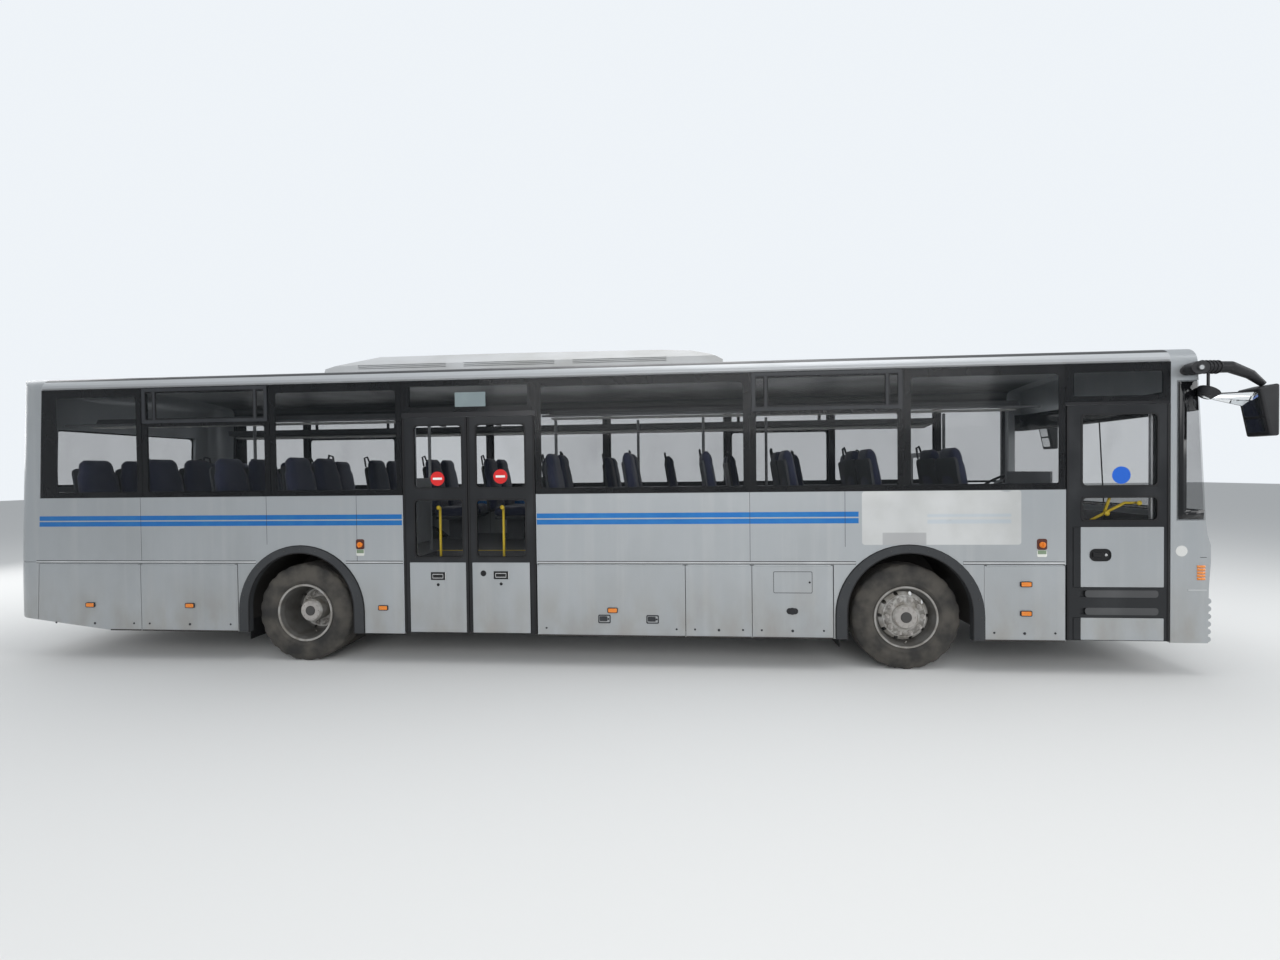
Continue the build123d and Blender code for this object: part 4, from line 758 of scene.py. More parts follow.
# Columns: distance inside the tread, share of the half width, from the bead outwards
sidewall = [(0.218, 0.82), (0.204, 0.84), (0.196, 0.90), (0.180, 0.95), (0.176, 0.975), (0.168, 0.975),
            (0.164, 0.965), (0.130, 1.0), (0.098, 1.0), (0.094, 0.985), (0.072, 0.978), (0.060, 0.955),
            (0.036, 0.905), (0.018, 0.850)]
shoulder = [(0.004, 0.780)]
tyre_steps = 110
notch_every = 5
notch_depth = 0.009


def tread_profile():
    """(distance inside the tread, place across, is it a shoulder) from one bead to the other."""
    half = [(d, -share * tyre_half_width, d < 0.05) for d, share in sidewall + shoulder]
    middle = [(0.0, -tread_half_width, True)]
    for centre in groove_centres:
        for across, depth in ((-groove_half - 0.001, 0.0), (-groove_half, groove_depth),
                              (groove_half, groove_depth), (groove_half + 0.001, 0.0)):
            middle.append((depth, centre + across, False))
    middle.append((0.0, tread_half_width, True))
    return half + middle + [(d, -y, flag) for d, y, flag in reversed(half)]


def turned_tyre(bm, centre):
    """One tyre about a centre, its axle across the bus."""
    profile = tread_profile()
    rings = []
    for k in range(tyre_steps):
        angle = 2 * math.pi * k / tyre_steps
        notch = notch_depth if k % notch_every < 2 else 0.0
        ring = []
        for inside, across, is_shoulder in profile:
            radius = tyre_radius - inside - (notch if is_shoulder else 0.0)
            spot = Vector((radius * math.cos(angle), across, radius * math.sin(angle)))
            ring.append(bm.verts.new(centre + spot))
        rings.append(ring)
    for a, b in zip(rings, rings[1:] + rings[:1]):
        for n in range(len(profile)):
            m = (n + 1) % len(profile)
            bm.faces.new((a[n], a[m], b[m], b[n]))


def centre_of(node_name):
    low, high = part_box(node_name)
    return (low + high) / 2


twin_half = (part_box("rear_tyres_right")[1].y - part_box("rear_tyres_right")[0].y) / 2 - tyre_half_width
for node_name in ("front_tyre_right", "front_tyre_left", "rear_tyres_right", "rear_tyres_left"):
    bm = bmesh.new()
    middle = centre_of(node_name)
    offsets = (0.0,) if node_name.startswith("front") else (-twin_half, twin_half)
    for offset in offsets:
        turned_tyre(bm, middle + Vector((0, offset, 0)))
    obj = piece(node_name + "_treaded", bm, tyre_finish, body_of_node[node_name])
    for face in obj.data.polygons:
        face.use_smooth = abs(face.normal.y) > 0.35
    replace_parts(obj, node_name)
print("tyres:", tyre_steps, "steps round, grooves", len(groove_centres))

# %% [markdown]
# Wheels: pale paint under beige road dust, oily near the hub. The wheel nuts and the small
# bolts on the hubs are repeats round a circle, so they come from one geometry node group
# whose inputs are the count, the radius and the part. The wheel valves are made one by one.

# %% Wheel finish
def wheel_finish(name, centre, dish):
    """Dusty rim paint that gets oily towards the hub, with painted shade in the well and round
    the nuts. The dish is the (inner, outer) radius of the well between the disc and the
    rim's edge, which is painted near black as shade."""
    f = Finish(name, (0.40, 0.37, 0.31), 0.6)
    dx = f.maths("SUBTRACT", f.x, centre.x)
    dz = f.maths("SUBTRACT", f.z, centre.z)
    square = f.maths("ADD", f.maths("MULTIPLY", dx, dx), f.maths("MULTIPLY", dz, dz))
    distance = f.maths("SQRT", square)
    dirt = f.ramp(f.noise(11.0, 7.0), 0.32, 0.70)
    colour = f.mix(dirt, (0.46, 0.45, 0.43), (0.25, 0.23, 0.20))
    # Painted shade: the well between the disc and the rim's edge is painted near black
    well_shade = f.band(distance, dish[0], dish[1], 0.006)
    colour = f.mix(f.maths("MULTIPLY", well_shade, 0.88), colour, (0.035, 0.033, 0.030))
    # Painted shade round the wheel nuts, broken up by noise
    dark_patches = f.maths("MULTIPLY", f.band(distance, 0.138, 0.200, 0.012), f.ramp(f.noise(22.0, 5.0), 0.30, 0.60))
    colour = f.mix(f.maths("MULTIPLY", dark_patches, 0.7), colour, (0.075, 0.068, 0.060))
    hub = f.maths("SUBTRACT", 1.0, f.ramp(distance, 0.060, 0.068))
    colour = f.mix(f.maths("MULTIPLY", hub, 0.8), colour, (0.06, 0.06, 0.062))
    near_hub = f.maths("MULTIPLY", f.ramp(distance, 0.0, 0.20), -1.0)
    oily = f.maths("MULTIPLY", f.maths("ADD", near_hub, 1.0), f.ramp(f.noise(16.0, 5.0), 0.35, 0.6))
    colour = f.mix(f.maths("MULTIPLY", oily, 0.75), colour, (0.10, 0.075, 0.05))
    edge = f.band(distance, 0.285, 0.310, 0.004)
    colour = f.mix(f.maths("MULTIPLY", edge, 0.4), colour, (0.13, 0.12, 0.11))
    f.set("Base Color", colour)
    f.relief(f.noise(120.0, 3.0), 0.0012, 0.45)
    return f


front_wheel_finish = wheel_finish("front_wheel_paint", front_axle, (0.236, 0.284))
rear_wheel_finish = wheel_finish("rear_wheel_paint", rear_axle, (0.215, 0.280))
for side in ("right", "left"):
    dress("front_wheel_" + side, front_wheel_finish)
    dress("rear_wheels_" + side, rear_wheel_finish)
bolt_steel = moulded("bolt_steel", (0.36, 0.34, 0.32), 0.42, 90.0, 0.0004)
dull_steel = moulded("dull_steel", (0.060, 0.058, 0.056), 0.5, 90.0, 0.0004)
print("wheel finishes on")

# %% Rings of nuts and bolts
def repeat_group(name, lay_out):
    """Geometry nodes: a part copied on to the points that lay_out makes, turned into a real
    mesh with one finish. Returns the group and the identifiers of its inputs."""
    group = bpy.data.node_groups.new(name, "GeometryNodeTree")
    face = group.interface
    face.new_socket(name="Geometry", in_out="OUTPUT", socket_type="NodeSocketGeometry")
    sockets = {}
    for label, kind in (("Count", "Int"), ("Radius", "Float"), ("Part", "Object"), ("Finish", "Material")):
        socket = face.new_socket(name=label, in_out="INPUT", socket_type="NodeSocket" + kind)
        sockets[label] = socket.identifier
    new = group.nodes.new
    link = group.links.new
    source = new("NodeGroupInput")
    result = new("NodeGroupOutput")
    part = new("GeometryNodeObjectInfo")
    link(source.outputs["Part"], part.inputs["Object"])
    copies = new("GeometryNodeInstanceOnPoints")
    lay_out(new, link, source, copies)
    link(part.outputs["Geometry"], copies.inputs["Instance"])
    real = new("GeometryNodeRealizeInstances")
    link(copies.outputs[0], real.inputs[0])
    paint = new("GeometryNodeSetMaterial")
    link(real.outputs[0], paint.inputs["Geometry"])
    link(source.outputs["Finish"], paint.inputs["Material"])
    link(paint.outputs[0], result.inputs[0])
    return group, sockets


def ring_points(new, link, source, copies):
    """Points round a circle, each with the turn that makes its copy face outwards."""
    circle_node = new("GeometryNodeMeshCircle")
    link(source.outputs["Count"], circle_node.inputs["Vertices"])
    link(source.outputs["Radius"], circle_node.inputs["Radius"])
    index = new("GeometryNodeInputIndex")
    share = new("ShaderNodeMath")
    share.operation = "DIVIDE"
    link(index.outputs[0], share.inputs[0])
    link(source.outputs["Count"], share.inputs[1])
    angle = new("ShaderNodeMath")
    angle.operation = "MULTIPLY"
    angle.inputs[1].default_value = 2 * math.pi
    link(share.outputs[0], angle.inputs[0])
    turn_node = new("ShaderNodeCombineXYZ")
    link(angle.outputs[0], turn_node.inputs["Z"])
    link(circle_node.outputs[0], copies.inputs["Points"])
    link(turn_node.outputs[0], copies.inputs["Rotation"])


ring_nodes, ring_sockets = repeat_group("ring_of_parts", ring_points)


def part_object(name, bm):
    """Small part that is repeated. It isn't shown itself."""
    bmesh.ops.recalc_face_normals(bm, faces=bm.faces)
    mesh = bpy.data.meshes.new(name)
    bm.to_mesh(mesh)
    bm.free()
    obj = bpy.data.objects.new(name, mesh)
    scene.collection.objects.link(obj)
    return obj


def ring_mesh(name, part, count, radius, finish):
    """Plain mesh of the ring, in the XY plane about the origin."""
    carrier_mesh = bpy.data.meshes.new(name)
    carrier_mesh.from_pydata([(0, 0, 0)], [], [])
    carrier = bpy.data.objects.new(name, carrier_mesh)
    scene.collection.objects.link(carrier)
    mod = carrier.modifiers.new("ring", "NODES")
    mod.node_group = ring_nodes
    mod[ring_sockets["Count"]] = count
    mod[ring_sockets["Radius"]] = radius
    mod[ring_sockets["Part"]] = part
    mod[ring_sockets["Finish"]] = finish.material
    depsgraph = bpy.context.evaluated_depsgraph_get()
    mesh = bpy.data.meshes.new_from_object(carrier.evaluated_get(depsgraph))
    bpy.data.objects.remove(carrier)
    bpy.data.meshes.remove(carrier_mesh)
    return mesh


def upright(u, v, w):
    """Place with w along the ring's own axis."""
    return Vector((u, v, w))


nut_bm = bmesh.new()
plate(nut_bm, circle(0, 0, 0.0185, 6), upright, 0.0, 0.024, 0.003)
plate(nut_bm, circle(0, 0, 0.024, 14), upright, 0.0, 0.005, 0.001)
plate(nut_bm, circle(0, 0, 0.011, 10), upright, 0.020, 0.040, 0.002)
wheel_nut = part_object("wheel_nut", nut_bm)
bolt_bm = bmesh.new()
plate(bolt_bm, circle(0, 0, 0.0085, 6), upright, 0.0, 0.010, 0.0015)
hub_bolt = part_object("hub_bolt", bolt_bm)

# Columns: part, count, radius, distance of the front and of the rear seat from the wheel's middle
nut_rows = [
    (wheel_nut, 10, 0.1675, 0.0865, 0.025),
    (hub_bolt, 10, 0.088, 0.125, 0.200),
]
front_hub_depth = 0.125
rear_hub_depth = 0.200
for end in ("front", "rear"):
    for side, outward in (("right", -1), ("left", 1)):
        node_name = ("front_wheel_" if end == "front" else "rear_wheels_") + side
        tyre_name = ("front_tyre_" if end == "front" else "rear_tyres_") + side
        middle = centre_of(tyre_name)
        bm = bmesh.new()
        for part, count, radius, front_seat, rear_seat in nut_rows:
            seat = front_seat if end == "front" else rear_seat
            ring = ring_mesh(node_name + "_ring", part, count, radius, bolt_steel)
            stand = Matrix.Rotation(math.radians(90 if outward < 0 else -90), 4, "X")
            ring.transform(Matrix.Translation(middle + Vector((0, outward * seat, 0))) @ stand)
            bm.from_mesh(ring)
            bpy.data.meshes.remove(ring)
        hub_depth = front_hub_depth if end == "front" else rear_hub_depth


        def on_hub(u, v, w):
            return middle + Vector((u, outward * w, v))


        cap = circle(0, 0, 0.052, 28)
        cap_bm = bmesh.new()
        plate(cap_bm, cap, on_hub, hub_depth - 0.004, hub_depth + 0.012, 0.006)
        piece(node_name + "_cap", cap_bm, dull_steel, body_of_node[node_name])
        plate(bm, circle(0, 0, 0.102, 32), on_hub, hub_depth - 0.004, hub_depth + 0.002, 0.001)
        valve_start = middle + Vector((0.0, outward * 0.07, -0.262))
        tube(bm, [valve_start, valve_start + Vector((0, outward * 0.035, 0.012)),
                  valve_start + Vector((0, outward * 0.052, 0.030))], 0.004, 6)
        piece(node_name + "_nuts", bm, bolt_steel, body_of_node[node_name])
for obj in (wheel_nut, hub_bolt):
    bpy.data.objects.remove(obj)
print("nuts and hub bolts on", len(nut_rows) * 4, "rings")

# %% [markdown]
# The seats are coach seats in dark navy cloth. One cushion and one back are made as
# closed forms, filled by the cloth solver with pressure so that they crown between
# their seams, and then thinned. Copies of the two sit on every seat of the source,
# with a plastic shell behind the back, a frame below and a loop handle on the aisle
# side. The side that faces the aisle has an armrest.

# %% Seat cloth and shells
seat_cloth = Finish("navy_cloth", (0.012, 0.016, 0.045), 0.9)
weave_a = seat_cloth.add("ShaderNodeTexWave", wave_type="BANDS", bands_direction="Y")
weave_a.inputs["Scale"].default_value = 160.0
seat_cloth.tree.links.new(seat_cloth.coords, weave_a.inputs["Vector"])
weave_b = seat_cloth.add("ShaderNodeTexWave", wave_type="BANDS", bands_direction="Z")
weave_b.inputs["Scale"].default_value = 160.0
seat_cloth.tree.links.new(seat_cloth.coords, weave_b.inputs["Vector"])
weave = seat_cloth.maths("MULTIPLY", weave_a.outputs[0], weave_b.outputs[0])
worn_cloth = seat_cloth.ramp(seat_cloth.noise(3.5, 6.0), 0.40, 0.75)
cloth_colour = seat_cloth.mix(worn_cloth, (0.012, 0.016, 0.048), (0.030, 0.036, 0.075))
seat_cloth.set("Base Color", seat_cloth.mix(seat_cloth.maths("MULTIPLY", weave, 0.35), cloth_colour,
                                            (0.05, 0.055, 0.10)))
seat_cloth.set("Sheen Weight", 0.3)
seat_cloth.relief(weave, 0.0008, 0.5)
seat_shell = moulded("seat_shell", (0.055, 0.058, 0.064), 0.5)

floor_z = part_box("passenger_seats")[0].z
seat_width = 0.44
seat_gap = 0.01
cushion_depth = 0.46
cushion_height = 0.12
seat_z = floor_z + 0.43
back_height = 0.70
back_rake = math.radians(8.5)
seat_pitch = 0.80
wall_side_y = -side_y - 0.045 - 0.025 - seat_width / 2
aisle_side_y = wall_side_y - seat_width - seat_gap


def closed_form(name, sections):
    """Closed mesh through rounded cross-sections, each (centre, half width, half thickness, axis pair)."""
    bm = bmesh.new()
    rings = []
    steps = 28
    for centre, half_u, half_v, axis_u, axis_v in sections:
        ring = []
        for k in range(steps):
            angle = 2 * math.pi * k / steps
            c, s = math.cos(angle), math.sin(angle)
            u = half_u * math.copysign(abs(c) ** 0.35, c)
            v = half_v * math.copysign(abs(s) ** 0.35, s)
            ring.append(bm.verts.new(centre + u * axis_u + v * axis_v))
        rings.append(ring)
    for a, b in zip(rings, rings[1:]):
        for k in range(steps):
            m = (k + 1) % steps
            bm.faces.new((a[k], a[m], b[m], b[k]))
    bm.faces.new(rings[0])
    bm.faces.new(rings[-1])
    bmesh.ops.recalc_face_normals(bm, faces=bm.faces)
    mesh = bpy.data.meshes.new(name)
    bm.to_mesh(mesh)
    bm.free()
    obj = bpy.data.objects.new(name, mesh)
    scene.collection.objects.link(obj)
    return obj


X_AXIS = Vector((1, 0, 0))
Y_AXIS = Vector((0, 1, 0))
Z_AXIS = Vector((0, 0, 1))


def cushion_form():
    """Seat cushion about its rear lower edge, with a rounded nose."""
    sections = []
    half = seat_width / 2 - 0.012
    # Columns: share of the depth, half thickness, lift of the middle
    cushion_rows = [(0.0, 0.040, 0.0), (0.05, 0.052, 0.0), (0.30, 0.054, -0.006), (0.55, 0.055, -0.006),
                    (0.80, 0.058, 0.0), (0.94, 0.052, -0.004), (1.0, 0.034, -0.012)]
    for share, thick, lift in cushion_rows:
        centre = Vector((share * cushion_depth, 0, cushion_height / 2 + lift))
        sections.append((centre, half, thick, Y_AXIS, Z_AXIS))
    return closed_form("cushion_form", sections)


def back_form():
    """Backrest about its lower edge: waist, shoulders and a rounded headrest."""
    sections = []
    # Columns: share of the height, half width, half thickness
    back_rows = [(0.0, 0.195, 0.036), (0.04, 0.205, 0.046), (0.25, 0.208, 0.052), (0.50, 0.208, 0.047),
                 (0.72, 0.205, 0.045), (0.80, 0.180, 0.041), (0.88, 0.168, 0.045), (0.95, 0.152, 0.040),
                 (1.0, 0.115, 0.022)]
    for share, half, thick in back_rows:
        centre = Vector((0, 0, share * back_height))
        sections.append((centre, half, thick, Y_AXIS, X_AXIS))
    return closed_form("back_form", sections)


def filled(obj, voxel, cap, faces_kept):
    """Fill a closed form like a cushion: remesh, cloth pressure for 20 frames, cap, thin."""
    remesh = obj.modifiers.new("remesh", "REMESH")
    remesh.mode = "VOXEL"
    remesh.voxel_size = voxel
    mesh = evaluated_mesh(obj)
    old = obj.data
    obj.modifiers.clear()
    obj.data = mesh
    bpy.data.meshes.remove(old)
    start = [v.co.copy() for v in obj.data.vertices]
    cloth = obj.modifiers.new("cloth", "CLOTH")
    cloth.settings.use_pressure = True
    cloth.settings.uniform_pressure_force = 4.0
    cloth.settings.effector_weights.gravity = 0.0
    cloth.settings.quality = 5
    cloth.point_cache.frame_start = 1
    cloth.point_cache.frame_end = 20
    for frame_number in range(1, 21):
        scene.frame_set(frame_number)
    swollen = evaluated_mesh(obj)
    for vertex, before in zip(swollen.vertices, start):
        move = vertex.co - before
        if move.length > cap:
            vertex.co = before + move.normalized() * cap
    old = obj.data
    obj.modifiers.clear()
    obj.data = swollen
    bpy.data.meshes.remove(old)
    scene.frame_set(1)
    thin = obj.modifiers.new("thin", "DECIMATE")
    thin.ratio = min(1.0, faces_kept / max(1, len(obj.data.polygons) * 2))
    mesh = evaluated_mesh(obj)
    bpy.data.objects.remove(obj)
    return mesh


def evaluated_mesh(obj):
    depsgraph = bpy.context.evaluated_depsgraph_get()
    return bpy.data.meshes.new_from_object(obj.evaluated_get(depsgraph))


cushion_mesh = filled(cushion_form(), 0.012, 0.012, 700)
back_mesh = filled(back_form(), 0.012, 0.012, 900)
print("cushion", len(cushion_mesh.polygons), "faces, back", len(back_mesh.polygons), "faces")

# %% Seats in rows
def seat_place(x, y):
    """Where the cushion's rear lower corner and the back's foot stand."""
    cushion_at = Matrix.Translation((x - 0.02, y, seat_z - cushion_height + 0.01))
    back_at = Matrix.Translation((x - 0.03, y, seat_z - 0.03)) @ Matrix.Rotation(-back_rake, 4, "Y")
    return cushion_at, back_at


def add_mesh(bm, mesh, matrix):
    """Copy a mesh into a bmesh at a place."""
    copy = mesh.copy()
    copy.transform(matrix)
    bm.from_mesh(copy)
    bpy.data.meshes.remove(copy)


def seat_hardware(bm, x, y, inner):
    """Shell behind the back, under-cushion tray and, on the aisle side, armrest and loop."""
    side = 1 if y > 0 else -1
    cushion_at, back_at = seat_place(x, y)
    half = seat_width / 2 - 0.006

    def on_back(u, v, w):
        return back_at @ Vector((-0.046 - w, u, v))

    outline = rounded(-half, half, -0.02, back_height - 0.10, 0.05, 4)
    plate(bm, outline, on_back, -0.012, 0.012, 0.008)
    brick(bm, (x + 0.01, y - half, seat_z - 0.145), (x + cushion_depth - 0.06, y + half, seat_z - 0.108))
    if inner:
        edge = y - side * (seat_width / 2 - 0.01)
        armrest = [(x + 0.01, edge, seat_z + 0.20), (x + 0.22, edge, seat_z + 0.205),
                   (x + 0.30, edge, seat_z + 0.19)]
        tube(bm, armrest, 0.017, 8)
        grip = [(-0.030, edge, back_height - 0.10), (-0.030, edge, back_height + 0.02),
                (-0.030, edge + side * 0.07, back_height + 0.035),
                (-0.030, edge + side * 0.10, back_height - 0.03)]
        tube(bm, [back_at @ Vector((a, b - y, c)) for a, b, c in grip], 0.011, 8)


def seat_leg(bm, x, side):
    """Pedestal of a pair of seats, and the rail to the wall."""
    y = side * aisle_side_y
    brick(bm, (x + 0.10, y - 0.022, floor_z + 0.012), (x + 0.33, y + 0.022, seat_z - 0.14))
    brick(bm, (x + 0.06, y - 0.045, floor_z), (x + 0.37, y + 0.045, floor_z + 0.012))
    brick(bm, (x + 0.06, min(y, side * (wall_side_y + 0.2)), seat_z - 0.170),
          (x + 0.10, max(y, side * (wall_side_y + 0.2)), seat_z - 0.145))
    brick(bm, (x + 0.32, min(y, side * (wall_side_y + 0.2)), seat_z - 0.170),
          (x + 0.36, max(y, side * (wall_side_y + 0.2)), seat_z - 0.145))


# Columns: side of the bus, station of the first row, number of rows
seat_blocks = [(-1, 2.720, 6), (-1, -2.500, 4), (1, -2.500, 12)]
soft_bm = bmesh.new()
hard_bm = bmesh.new()
rows_made = 0
for side, first, rows in seat_blocks:
    for n in range(rows):
        x = at(first + n * seat_pitch)
        for y, inner in ((side * wall_side_y, False), (side * aisle_side_y, True)):
            cushion_at, back_at = seat_place(x, y)
            add_mesh(soft_bm, cushion_mesh, cushion_at)
            add_mesh(soft_bm, back_mesh, back_at)
            seat_hardware(hard_bm, x, y, inner)
        seat_leg(hard_bm, x, side)
        rows_made += 1
cushions = piece("passenger_seat_cushions", soft_bm, seat_cloth, "root", smooth=True)
piece("passenger_seat_frames", hard_bm, seat_shell, "root")
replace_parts(cushions, "passenger_seats")

soft_bm = bmesh.new()
hard_bm = bmesh.new()
driver_low, driver_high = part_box("driver_seat")
driver_y = (driver_low.y + driver_high.y) / 2
driver_x = at(7.350)
cushion_at, back_at = seat_place(driver_x, driver_y)
add_mesh(soft_bm, cushion_mesh, cushion_at)
add_mesh(soft_bm, back_mesh, back_at)
seat_hardware(hard_bm, driver_x, driver_y, False)
brick(hard_bm, (driver_x + 0.02, driver_y - 0.19, floor_z),
      (driver_x + 0.38, driver_y + 0.19, floor_z + 0.07))
for level in range(5):
    z = floor_z + 0.07 + 0.042 * level
    plate(hard_bm, rounded(driver_x + 0.04, driver_x + 0.36, -0.15, 0.15, 0.05, 4),
          lambda u, v, w: Vector((u, driver_y + v, z + w)), 0.0, 0.042, 0.012)
driver_cushions = piece("driver_seat_cushions", soft_bm, seat_cloth, "root", smooth=True)
piece("driver_seat_base", hard_bm, seat_shell, "root")
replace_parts(driver_cushions, "driver_seat")
bpy.data.meshes.remove(cushion_mesh)
bpy.data.meshes.remove(back_mesh)
print("seats in", rows_made, "rows of two, and the driver's")

# %% [markdown]
# Small things on the sides: the dark strip with its pale lip at the waist, the rain
# gutter under the cove, flap latches and locks, marker lamp housings, the outline of
# the fuel filler, rubber edges round the flares, orange emergency valves and the worn
# dark edges of the flaps.

# %% Side trim
gutter_finish = moulded("gutter_strip", (0.22, 0.225, 0.23), 0.4, 60.0, 0.0003)
pale_strip = moulded("pale_strip", (0.46, 0.47, 0.475), 0.35, 60.0, 0.0003)
amber = Finish("amber_lens", (0.78, 0.23, 0.015), 0.18)
amber.set("Coat Weight", 0.6)
amber.relief(amber.noise(260.0, 1.0), 0.001, 0.4)
valve_orange = moulded("valve_orange", (0.75, 0.20, 0.02), 0.4, 80.0, 0.0003)
label_pale = moulded("label_pale", (0.62, 0.62, 0.58), 0.6, 80.0, 0.0002)
label_green = moulded("label_green", (0.19, 0.25, 0.17), 0.6, 80.0, 0.0002)
valve_brown = moulded("valve_brown", (0.085, 0.028, 0.020), 0.5, 90.0, 0.0003)
worn_edge = moulded("worn_edge", (0.035, 0.032, 0.030), 0.8, 60.0, 0.001)

# Columns: rear and front station of each length of waist strip
waist_right = [(-3.010, -0.49), (0.49, 1.105), (2.500, 5.60), (6.58, 7.487)]
waist_left = [(-3.010, -0.49), (0.49, 5.60), (6.58, 8.390)]
for side, place, lengths in (("right", right_side, waist_right), ("left", left_side, waist_left)):
    dark = bmesh.new()
    pale = bmesh.new()
    for s0, s1 in lengths:
        plate(dark, rounded(at(s0), at(s1), WAIST + 0.003, WAIST + 0.010, 0.003, 2), place, -0.002, 0.0022,
              0.0015)
        plate(dark, rounded(at(s0), at(s1), WAIST + 0.026, WAIST + 0.032, 0.003, 2), place, -0.002, 0.0022,
              0.0015)
        plate(pale, rounded(at(s0), at(s1), WAIST + 0.010, WAIST + 0.026, 0.003, 2), place, -0.002, 0.0050,
              0.004)
    piece("waist_lines_" + side, dark, rubber, "root")
    piece("waist_strip_" + side, pale, pale_strip, "root")
    strip = bmesh.new()
    plate(strip, rounded(at(-2.88), at(8.385), GUTTER + 0.002, GUTTER + 0.016, 0.004, 2), place, -0.003,
          0.0095, 0.006)
    piece("rain_gutter_" + side, strip, gutter_finish, "root")

# Columns: rear and front station of each flap, name of its body
flap_rows_right = [(-2.885, -1.797, "engine_flap_right"), (-1.797, -0.699, "service_flap_right"),
                   (2.494, 3.973, "luggage_flap_right_rear"), (3.973, 4.617, "luggage_flap_right_front"),
                   (4.617, 5.386, "fuel_flap"), (6.768, 7.490, "battery_flap")]
flap_rows_left = [(-2.885, -0.699, "engine_flap_left"), (0.700, 2.494, "luggage_flap_left_rear"),
                  (2.494, 3.973, "luggage_flap_left_mid"), (3.973, 5.386, "luggage_flap_left_front")]
lock_z = 0.388


def lock(bm, s, z, place, radius=0.013):
    """Round lock with a slot for a square key."""
    plate(bm, circle(at(s), z, radius, 20), place, -0.002, 0.004, 0.002)
    plate(bm, circle(at(s), z, radius * 0.55, 12), place, -0.002, 0.0055, 0.001)
    plate(bm, rounded(at(s) - 0.002, at(s) + 0.002, z - radius * 0.4, z + radius * 0.4, 0.001, 1), place,
          0.004, 0.0065, 0.0005)


def paddle(bm, s, z, place):
    """Paddle latch in a dished plate."""
    ring_out = rounded(at(s) - 0.062, at(s) + 0.062, z - 0.042, z + 0.042, 0.012)
    ring_in = rounded(at(s) - 0.052, at(s) + 0.052, z - 0.032, z + 0.032, 0.010)
    frame_ring(bm, ring_out, ring_in, place, -0.001, 0.004)
    plate(bm, rounded(at(s) - 0.048, at(s) + 0.030, z - 0.022, z + 0.026, 0.010), place, -0.001, 0.0065,
          0.004)
    plate(bm, circle(at(s) + 0.040, z, 0.009, 14), place, -0.001, 0.005, 0.002)


for rows, place, side in ((flap_rows_right, right_side, "right"), (flap_rows_left, left_side, "left")):
    for s0, s1, body in rows:
        bm = bmesh.new()
        middle = (s0 + s1) / 2
        if s1 - s0 > 1.2:
            paddle(bm, s0 + 0.22 * (s1 - s0) + 0.35, 0.487, place)
            paddle(bm, s1 - 0.22 * (s1 - s0), 0.487, place)
        else:
            lock(bm, middle, lock_z, place)
        lock(bm, s0 + 0.09, 0.392, place, 0.010)
        lock(bm, s1 - 0.09, 0.392, place, 0.010)
        piece(body + "_latches", bm, charcoal, body)
        edge = bmesh.new()
        start = at(s0) + 0.006
        if s0 < -2.8:
            start = at(-2.16)
        plate(edge, rounded(start, at(s1) - 0.006, SKIRT - 0.002, SKIRT + 0.010, 0.003, 2), place, -0.020,
              0.0030, 0.002)
        piece(body + "_lower_edge", edge, worn_edge, body)

# Fuel filler door in its flap, and its finger pull
bm = bmesh.new()
fuel_outer = rounded(at(4.822), at(5.190), 0.754, 0.963, 0.014)
fuel_inner = rounded(at(4.826), at(5.186), 0.758, 0.959, 0.011)
frame_ring(bm, fuel_outer, fuel_inner, right_side, -0.001, 0.0016)
plate(bm, circle(at(5.165), 0.858, 0.010, 14), right_side, -0.001, 0.003, 0.001)
piece("fuel_filler_outline", bm, rubber, "fuel_flap")

# Marker lamps. The source has them fixed to the body, but on the bus those on a flap
# lift with it, so each gets its lens and housing on the body that carries it.
# Columns: station, height, body that carries it on the right, and on the left
marker_rows = [
    (-2.385, 0.586, "engine_flap_right", "engine_flap_left"),
    (-1.240, 0.588, "service_flap_right", "engine_flap_left"),
    (0.886, 0.580, "root", "luggage_flap_left_rear"),
    (3.252, 0.574, "luggage_flap_right_rear", "luggage_flap_left_mid"),
    (7.140, 0.576, "battery_flap", "root"),
    (7.140, 0.850, "battery_flap", "root"),
]
lamp_body = Finish("lamp_bodies", (0.018, 0.018, 0.019), 0.15)
lamp_body.set("Coat Weight", 0.8)


def in_marker(point):
    """Does a point of the lamps' mesh belong to a marker on the sides?"""
    return any(abs(point.x - at(row[0])) < 0.06 and abs(point.z - row[1]) < 0.03 and abs(point.y) > 1.27
               for row in marker_rows)


end_lamps = bmesh.new()
end_lamps.from_mesh(nodes["lamps"].data)
bmesh.ops.delete(end_lamps, geom=[v for v in end_lamps.verts if in_marker(v.co)], context="VERTS")
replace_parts(piece("end_lamps", end_lamps, lamp_body, "root"), "lamps")
marker_lenses = {}
marker_frames = {}
for s, z, right_body, left_body in marker_rows:
    for place, body in ((right_side, right_body), (left_side, left_body)):
        lens_bm = marker_lenses.setdefault(body, bmesh.new())
        frame_bm = marker_frames.setdefault(body, bmesh.new())
        plate(lens_bm, rounded(at(s) - 0.045, at(s) + 0.045, z - 0.020, z + 0.020, 0.008), place, -0.002,
              0.012, 0.003)
        for k in range(9):
            u = at(s) - 0.036 + 0.009 * k
            plate(lens_bm, rounded(u - 0.0025, u + 0.0025, z - 0.015, z + 0.015, 0.002, 2), place, 0.010,
                  0.0132, 0.0008)
        frame_ring(frame_bm, rounded(at(s) - 0.052, at(s) + 0.052, z - 0.026, z + 0.026, 0.012),
                   rounded(at(s) - 0.044, at(s) + 0.044, z - 0.019, z + 0.019, 0.008), place, -0.001, 0.0100)
for body in marker_lenses:
    piece("marker_lenses_" + body, marker_lenses[body], amber, body)
    piece("marker_frames_" + body, marker_frames[body], black_plastic, body)
bm = bmesh.new()
